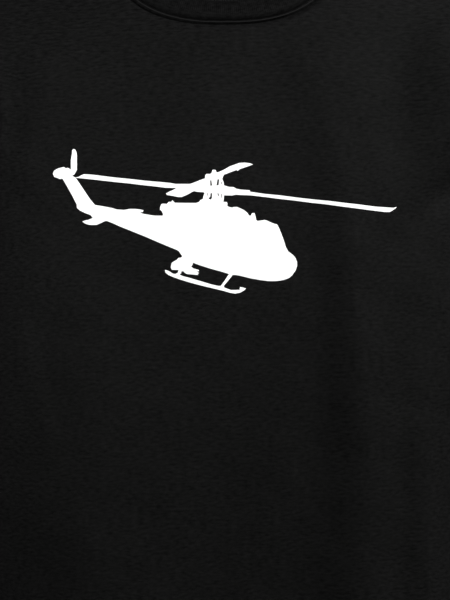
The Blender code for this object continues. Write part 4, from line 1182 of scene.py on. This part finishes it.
def body_strip(name, places, rows, thickness, material, node):
    """A strip under the back panel from a grid of (u, s) places, rows going down."""
    places = np.asarray(places, float)
    outer = body_cloth("back", places, LAYER_DEPTH, edges=False)
    inner = body_cloth("back", places, LAYER_DEPTH + thickness, edges=False)
    faces = grid_faces(rows, len(places) // rows, False)
    piece = sheet_mesh(name, outer, inner, faces, knit_places(places), material)
    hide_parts(node)
    return piece


def grid_places(us, downs):
    return [(u, s) for s in downs for u in us]


def neck_seam_depth(u):
    """The length down from the ridge at which the back neck seam lies."""
    across = np.interp(np.abs(u), ROUND_LENGTH, ACROSS)
    x = np.minimum(across * SHOULDER_SECTION_HALF_WIDTH / NECK_HALF_WIDTH, 1.0)
    z = -NECK_DROP["back"] * (1.0 - x ** NECK_POWER["back"]) ** (1.0 / NECK_POWER["back"])
    return body_place("back", across * SHOULDER_SECTION_HALF_WIDTH, z)[..., 1]


def make_seam_allowances(hand, sign, jersey):
    """The turned allowances under one shoulder seam and one side seam."""
    start_u = body_place("back", NECK_HALF_WIDTH + SHOULDER_ALLOWANCE_INSET, 0.0)[0]
    end_u = body_place("back", SHOULDER_POINT_X - SHOULDER_ALLOWANCE_INSET, -SHOULDER_DROP)[0]
    us = np.linspace(start_u, end_u, SHOULDER_ALLOWANCE_COLUMNS) * sign
    widths = np.linspace(0.0, ALLOWANCE_WIDTH, ALLOWANCE_ROWS)
    places = grid_places(us[::int(sign)], SHOULDER_ALLOWANCE_START + widths)
    shoulder = body_strip(f"{hand}_shoulder_allowance", places, ALLOWANCE_ROWS,
                          ALLOWANCE_THICKNESS, jersey, f"{hand}_shoulder_seam")
    underarm = body_place("back", CHEST_HALF_WIDTH, UNDERARM_Z)[1] + SIDE_ALLOWANCE_END_GAPS[0]
    bottom = hem_place("back", HALF_PANEL, HEM_Z + HEM_WIDTH + SIDE_ALLOWANCE_END_GAPS[1])
    us = (HALF_PANEL - SIDE_ALLOWANCE_START - widths) * sign
    places = grid_places(us[::-int(sign)], np.linspace(underarm, bottom, SIDE_ALLOWANCE_ROWS))
    side = body_strip(f"{hand}_side_allowance", places, SIDE_ALLOWANCE_ROWS,
                      ALLOWANCE_THICKNESS, jersey, f"{hand}_side_seam")
    return [shoulder, side]


def make_neck_tape(cloth):
    half = body_place("back", TAPE_REACH * NECK_HALF_WIDTH, 0.0)[0]
    columns, rows = TAPE_GRID
    us = np.linspace(-half, half, columns)
    places = [(u, neck_seam_depth(u) + down) for down in np.linspace(EDGE_GAP, TAPE_WIDTH, rows) for u in us]
    return body_strip("neck_tape_twill", places, rows, TRIM_THICKNESS, cloth, "neck_tape")


def make_label(cloth):
    half = body_place("back", 0.5 * LABEL_SIZE[0], -NECK_DROP["back"])[0]
    top = neck_seam_depth(0.0) + TAPE_WIDTH + LABEL_GAP
    columns, rows = LABEL_GRID
    places = grid_places(np.linspace(-half, half, columns), np.linspace(top, top + LABEL_SIZE[1], rows))
    return body_strip("blank_neck_label", places, rows, TRIM_THICKNESS, cloth, "neck_label")


def hem_ring(z, up, count):
    """A level ring round the body, up from height z: the places on the front, then those on the back."""
    us = np.linspace(-HALF_PANEL, HALF_PANEL, count)
    front, back = (np.stack((us, hem_place(side, us, z) - up), axis=1) for side in ("front", "back"))
    return front, back[1:-1][::-1]


def make_body_hem(material):
    """The turned-up layer inside the hem, all the way round, meeting the outer layer at the bottom."""
    heights = HEM_Z + np.array([share * HEM_WIDTH for share in (1.0, 0.75, 0.5, 0.25)] + [EDGE_GAP])
    rings = [hem_ring(z, 0.0, HEM_COLUMNS) for z in heights]
    layers = [np.concatenate([body_cloth(side, places, depth, edges=False)
                              for ring in rings for side, places in zip(("front", "back"), ring)])
              for depth in (HEM_LAYER_DEPTH, HEM_LAYER_DEPTH + CLOTH_THICKNESS)]
    faces = turned_over(grid_faces(len(rings), len(layers[0]) // len(rings), True))
    uvs = knit_places(np.concatenate([places for ring in rings for places in ring]))
    piece = sheet_mesh("body_hem_turn_up", layers[0], layers[1], faces, uvs, material)
    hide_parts("body_hem")
    return piece


def make_hem_stitches(material):
    """The twin rows that hold the body hem."""
    rows = []
    for up in HEM_STITCH_ROWS:
        halves = list(zip(("front", "back"), hem_ring(HEM_Z, up, BODY_STITCH_POINTS)))
        line = np.concatenate([body_cloth(side, places) for side, places in halves])
        outward = np.concatenate([body_normal(side, places[:, 0], places[:, 1]) for side, places in halves])
        rows.append((line, outward))
    return make_stitches("body_hem_stitches", rows, material)


def make_sleeve_stitches(name, sleeve, material):
    rows = []
    for up in HEM_STITCH_ROWS:
        share = 1.0 - sleeve.share_of(up)
        line = sleeve.rings([share], 0.0)
        rows.append((line, unit(line - sleeve.rings([share], 0.001))))
    return make_stitches(name, rows, material)


def make_sleeve(hand, sign, jersey, thread):
    """One sleeve with its seam allowance, its turned-up hem and its stitches."""
    sleeve = Sleeve(sign)
    cloth = sleeve.band(f"{hand}_sleeve_cloth", sleeve_shares(sleeve), 0.0, CLOTH_THICKNESS, jersey)
    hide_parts(f"{hand}_sleeve")
    downs = SLEEVE_ALLOWANCE_START + np.linspace(0.0, ALLOWANCE_WIDTH, ALLOWANCE_ROWS)
    seam = sleeve.band(f"{hand}_armhole_allowance", [sleeve.share_of(down) for down in downs], LAYER_DEPTH,
                       ALLOWANCE_THICKNESS, jersey, edges=False)
    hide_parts(f"{hand}_armhole_seam")
    ups = [share * HEM_WIDTH for share in (1.0, 0.66, 0.33)] + [EDGE_GAP]
    shares = [1.0 - sleeve.share_of(up) for up in ups]
    turn_up = sleeve.band(f"{hand}_sleeve_hem_turn_up", shares, LAYER_DEPTH, CLOTH_THICKNESS, jersey,
                          edges=False)
    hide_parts(f"{hand}_sleeve_hem")
    stitches = make_sleeve_stitches(f"{hand}_sleeve_stitches", sleeve, thread)


def make_camera():
    data = bpy.data.cameras.new("camera")
    data.sensor_width = SENSOR_SIZE
    data.lens = SENSOR_SIZE * CAMERA_DISTANCE / (IMAGE_HEIGHT * PIXEL)
    data.clip_end = 50.0
    camera = bpy.data.objects.new("camera", data)
    camera.location = (0.0, CHEST_PLANE_Y - CAMERA_DISTANCE, CAMERA_Z)
    camera.rotation_euler = (math.radians(90.0), 0.0, 0.0)
    bpy.context.scene.collection.objects.link(camera)
    bpy.context.scene.camera = camera


def make_lamp(name, place, target, size, power):
    data = bpy.data.lights.new(name, "AREA")
    data.shape = "RECTANGLE"
    data.size, data.size_y = size
    data.energy = power
    lamp = bpy.data.objects.new(name, data)
    lamp.location = place
    lamp.rotation_euler = (Vector(target) - Vector(place)).to_track_quat("-Z", "Y").to_euler()
    lamp.visible_camera = False
    bpy.context.scene.collection.objects.link(lamp)


def make_studio():
    """The world's light, the lamps and the floor."""
    world = bpy.data.worlds.new("studio")
    world.use_nodes = True
    background = world.node_tree.nodes["Background"]
    background.inputs["Color"].default_value = (WORLD_GREY, WORLD_GREY, WORLD_GREY, 1.0)
    background.inputs["Strength"].default_value = WORLD_STRENGTH
    bpy.context.scene.world = world
    for name, settings in LAMPS.items():
        make_lamp(name, *settings)
    mesh = bpy.data.meshes.new("studio_floor")
    corners = [(x * FLOOR_HALF_WIDTH, y * FLOOR_HALF_WIDTH, FLOOR_Z)
               for x, y in ((-1, -1), (1, -1), (1, 1), (-1, 1))]
    mesh.from_pydata(corners, [], [(0, 1, 2, 3)])
    mesh.materials.append(floor_material())
    floor = bpy.data.objects.new("studio_floor", mesh)
    bpy.context.scene.collection.objects.link(floor)
    bpy.context.scene.view_settings.view_transform = "Standard"


def main():
    make_camera()
    make_studio()
    knits = (knit_material(name, *values) for name, values in KNITS.items())
    jersey, rib, tape_cloth, label_cloth, thread = knits
    ink = ink_material()

    front, front_points, front_faces = make_panel("front_cloth", "front", jersey)
    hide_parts("front_panel")
    back, _, _ = make_panel("back_cloth", "back", jersey)
    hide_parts("back_panel")
    print_skin = make_print(front_points, front_faces, ink)
    neckband = make_neckband(rib)
    # The welt takes the lighter thread colour, partly as painted highlight along the neck seam
    welt = make_neck_welt(thread)
    inner_pieces = make_seam_allowances("left", 1.0, jersey) + make_seam_allowances("right", -1.0, jersey)
    inner_pieces += [make_neck_tape(tape_cloth), make_label(label_cloth)]
    hem = make_body_hem(jersey)
    hem_stitches = make_hem_stitches(thread)
    make_sleeve("left", 1.0, jersey, thread)
    make_sleeve("right", -1.0, jersey, thread)


main()
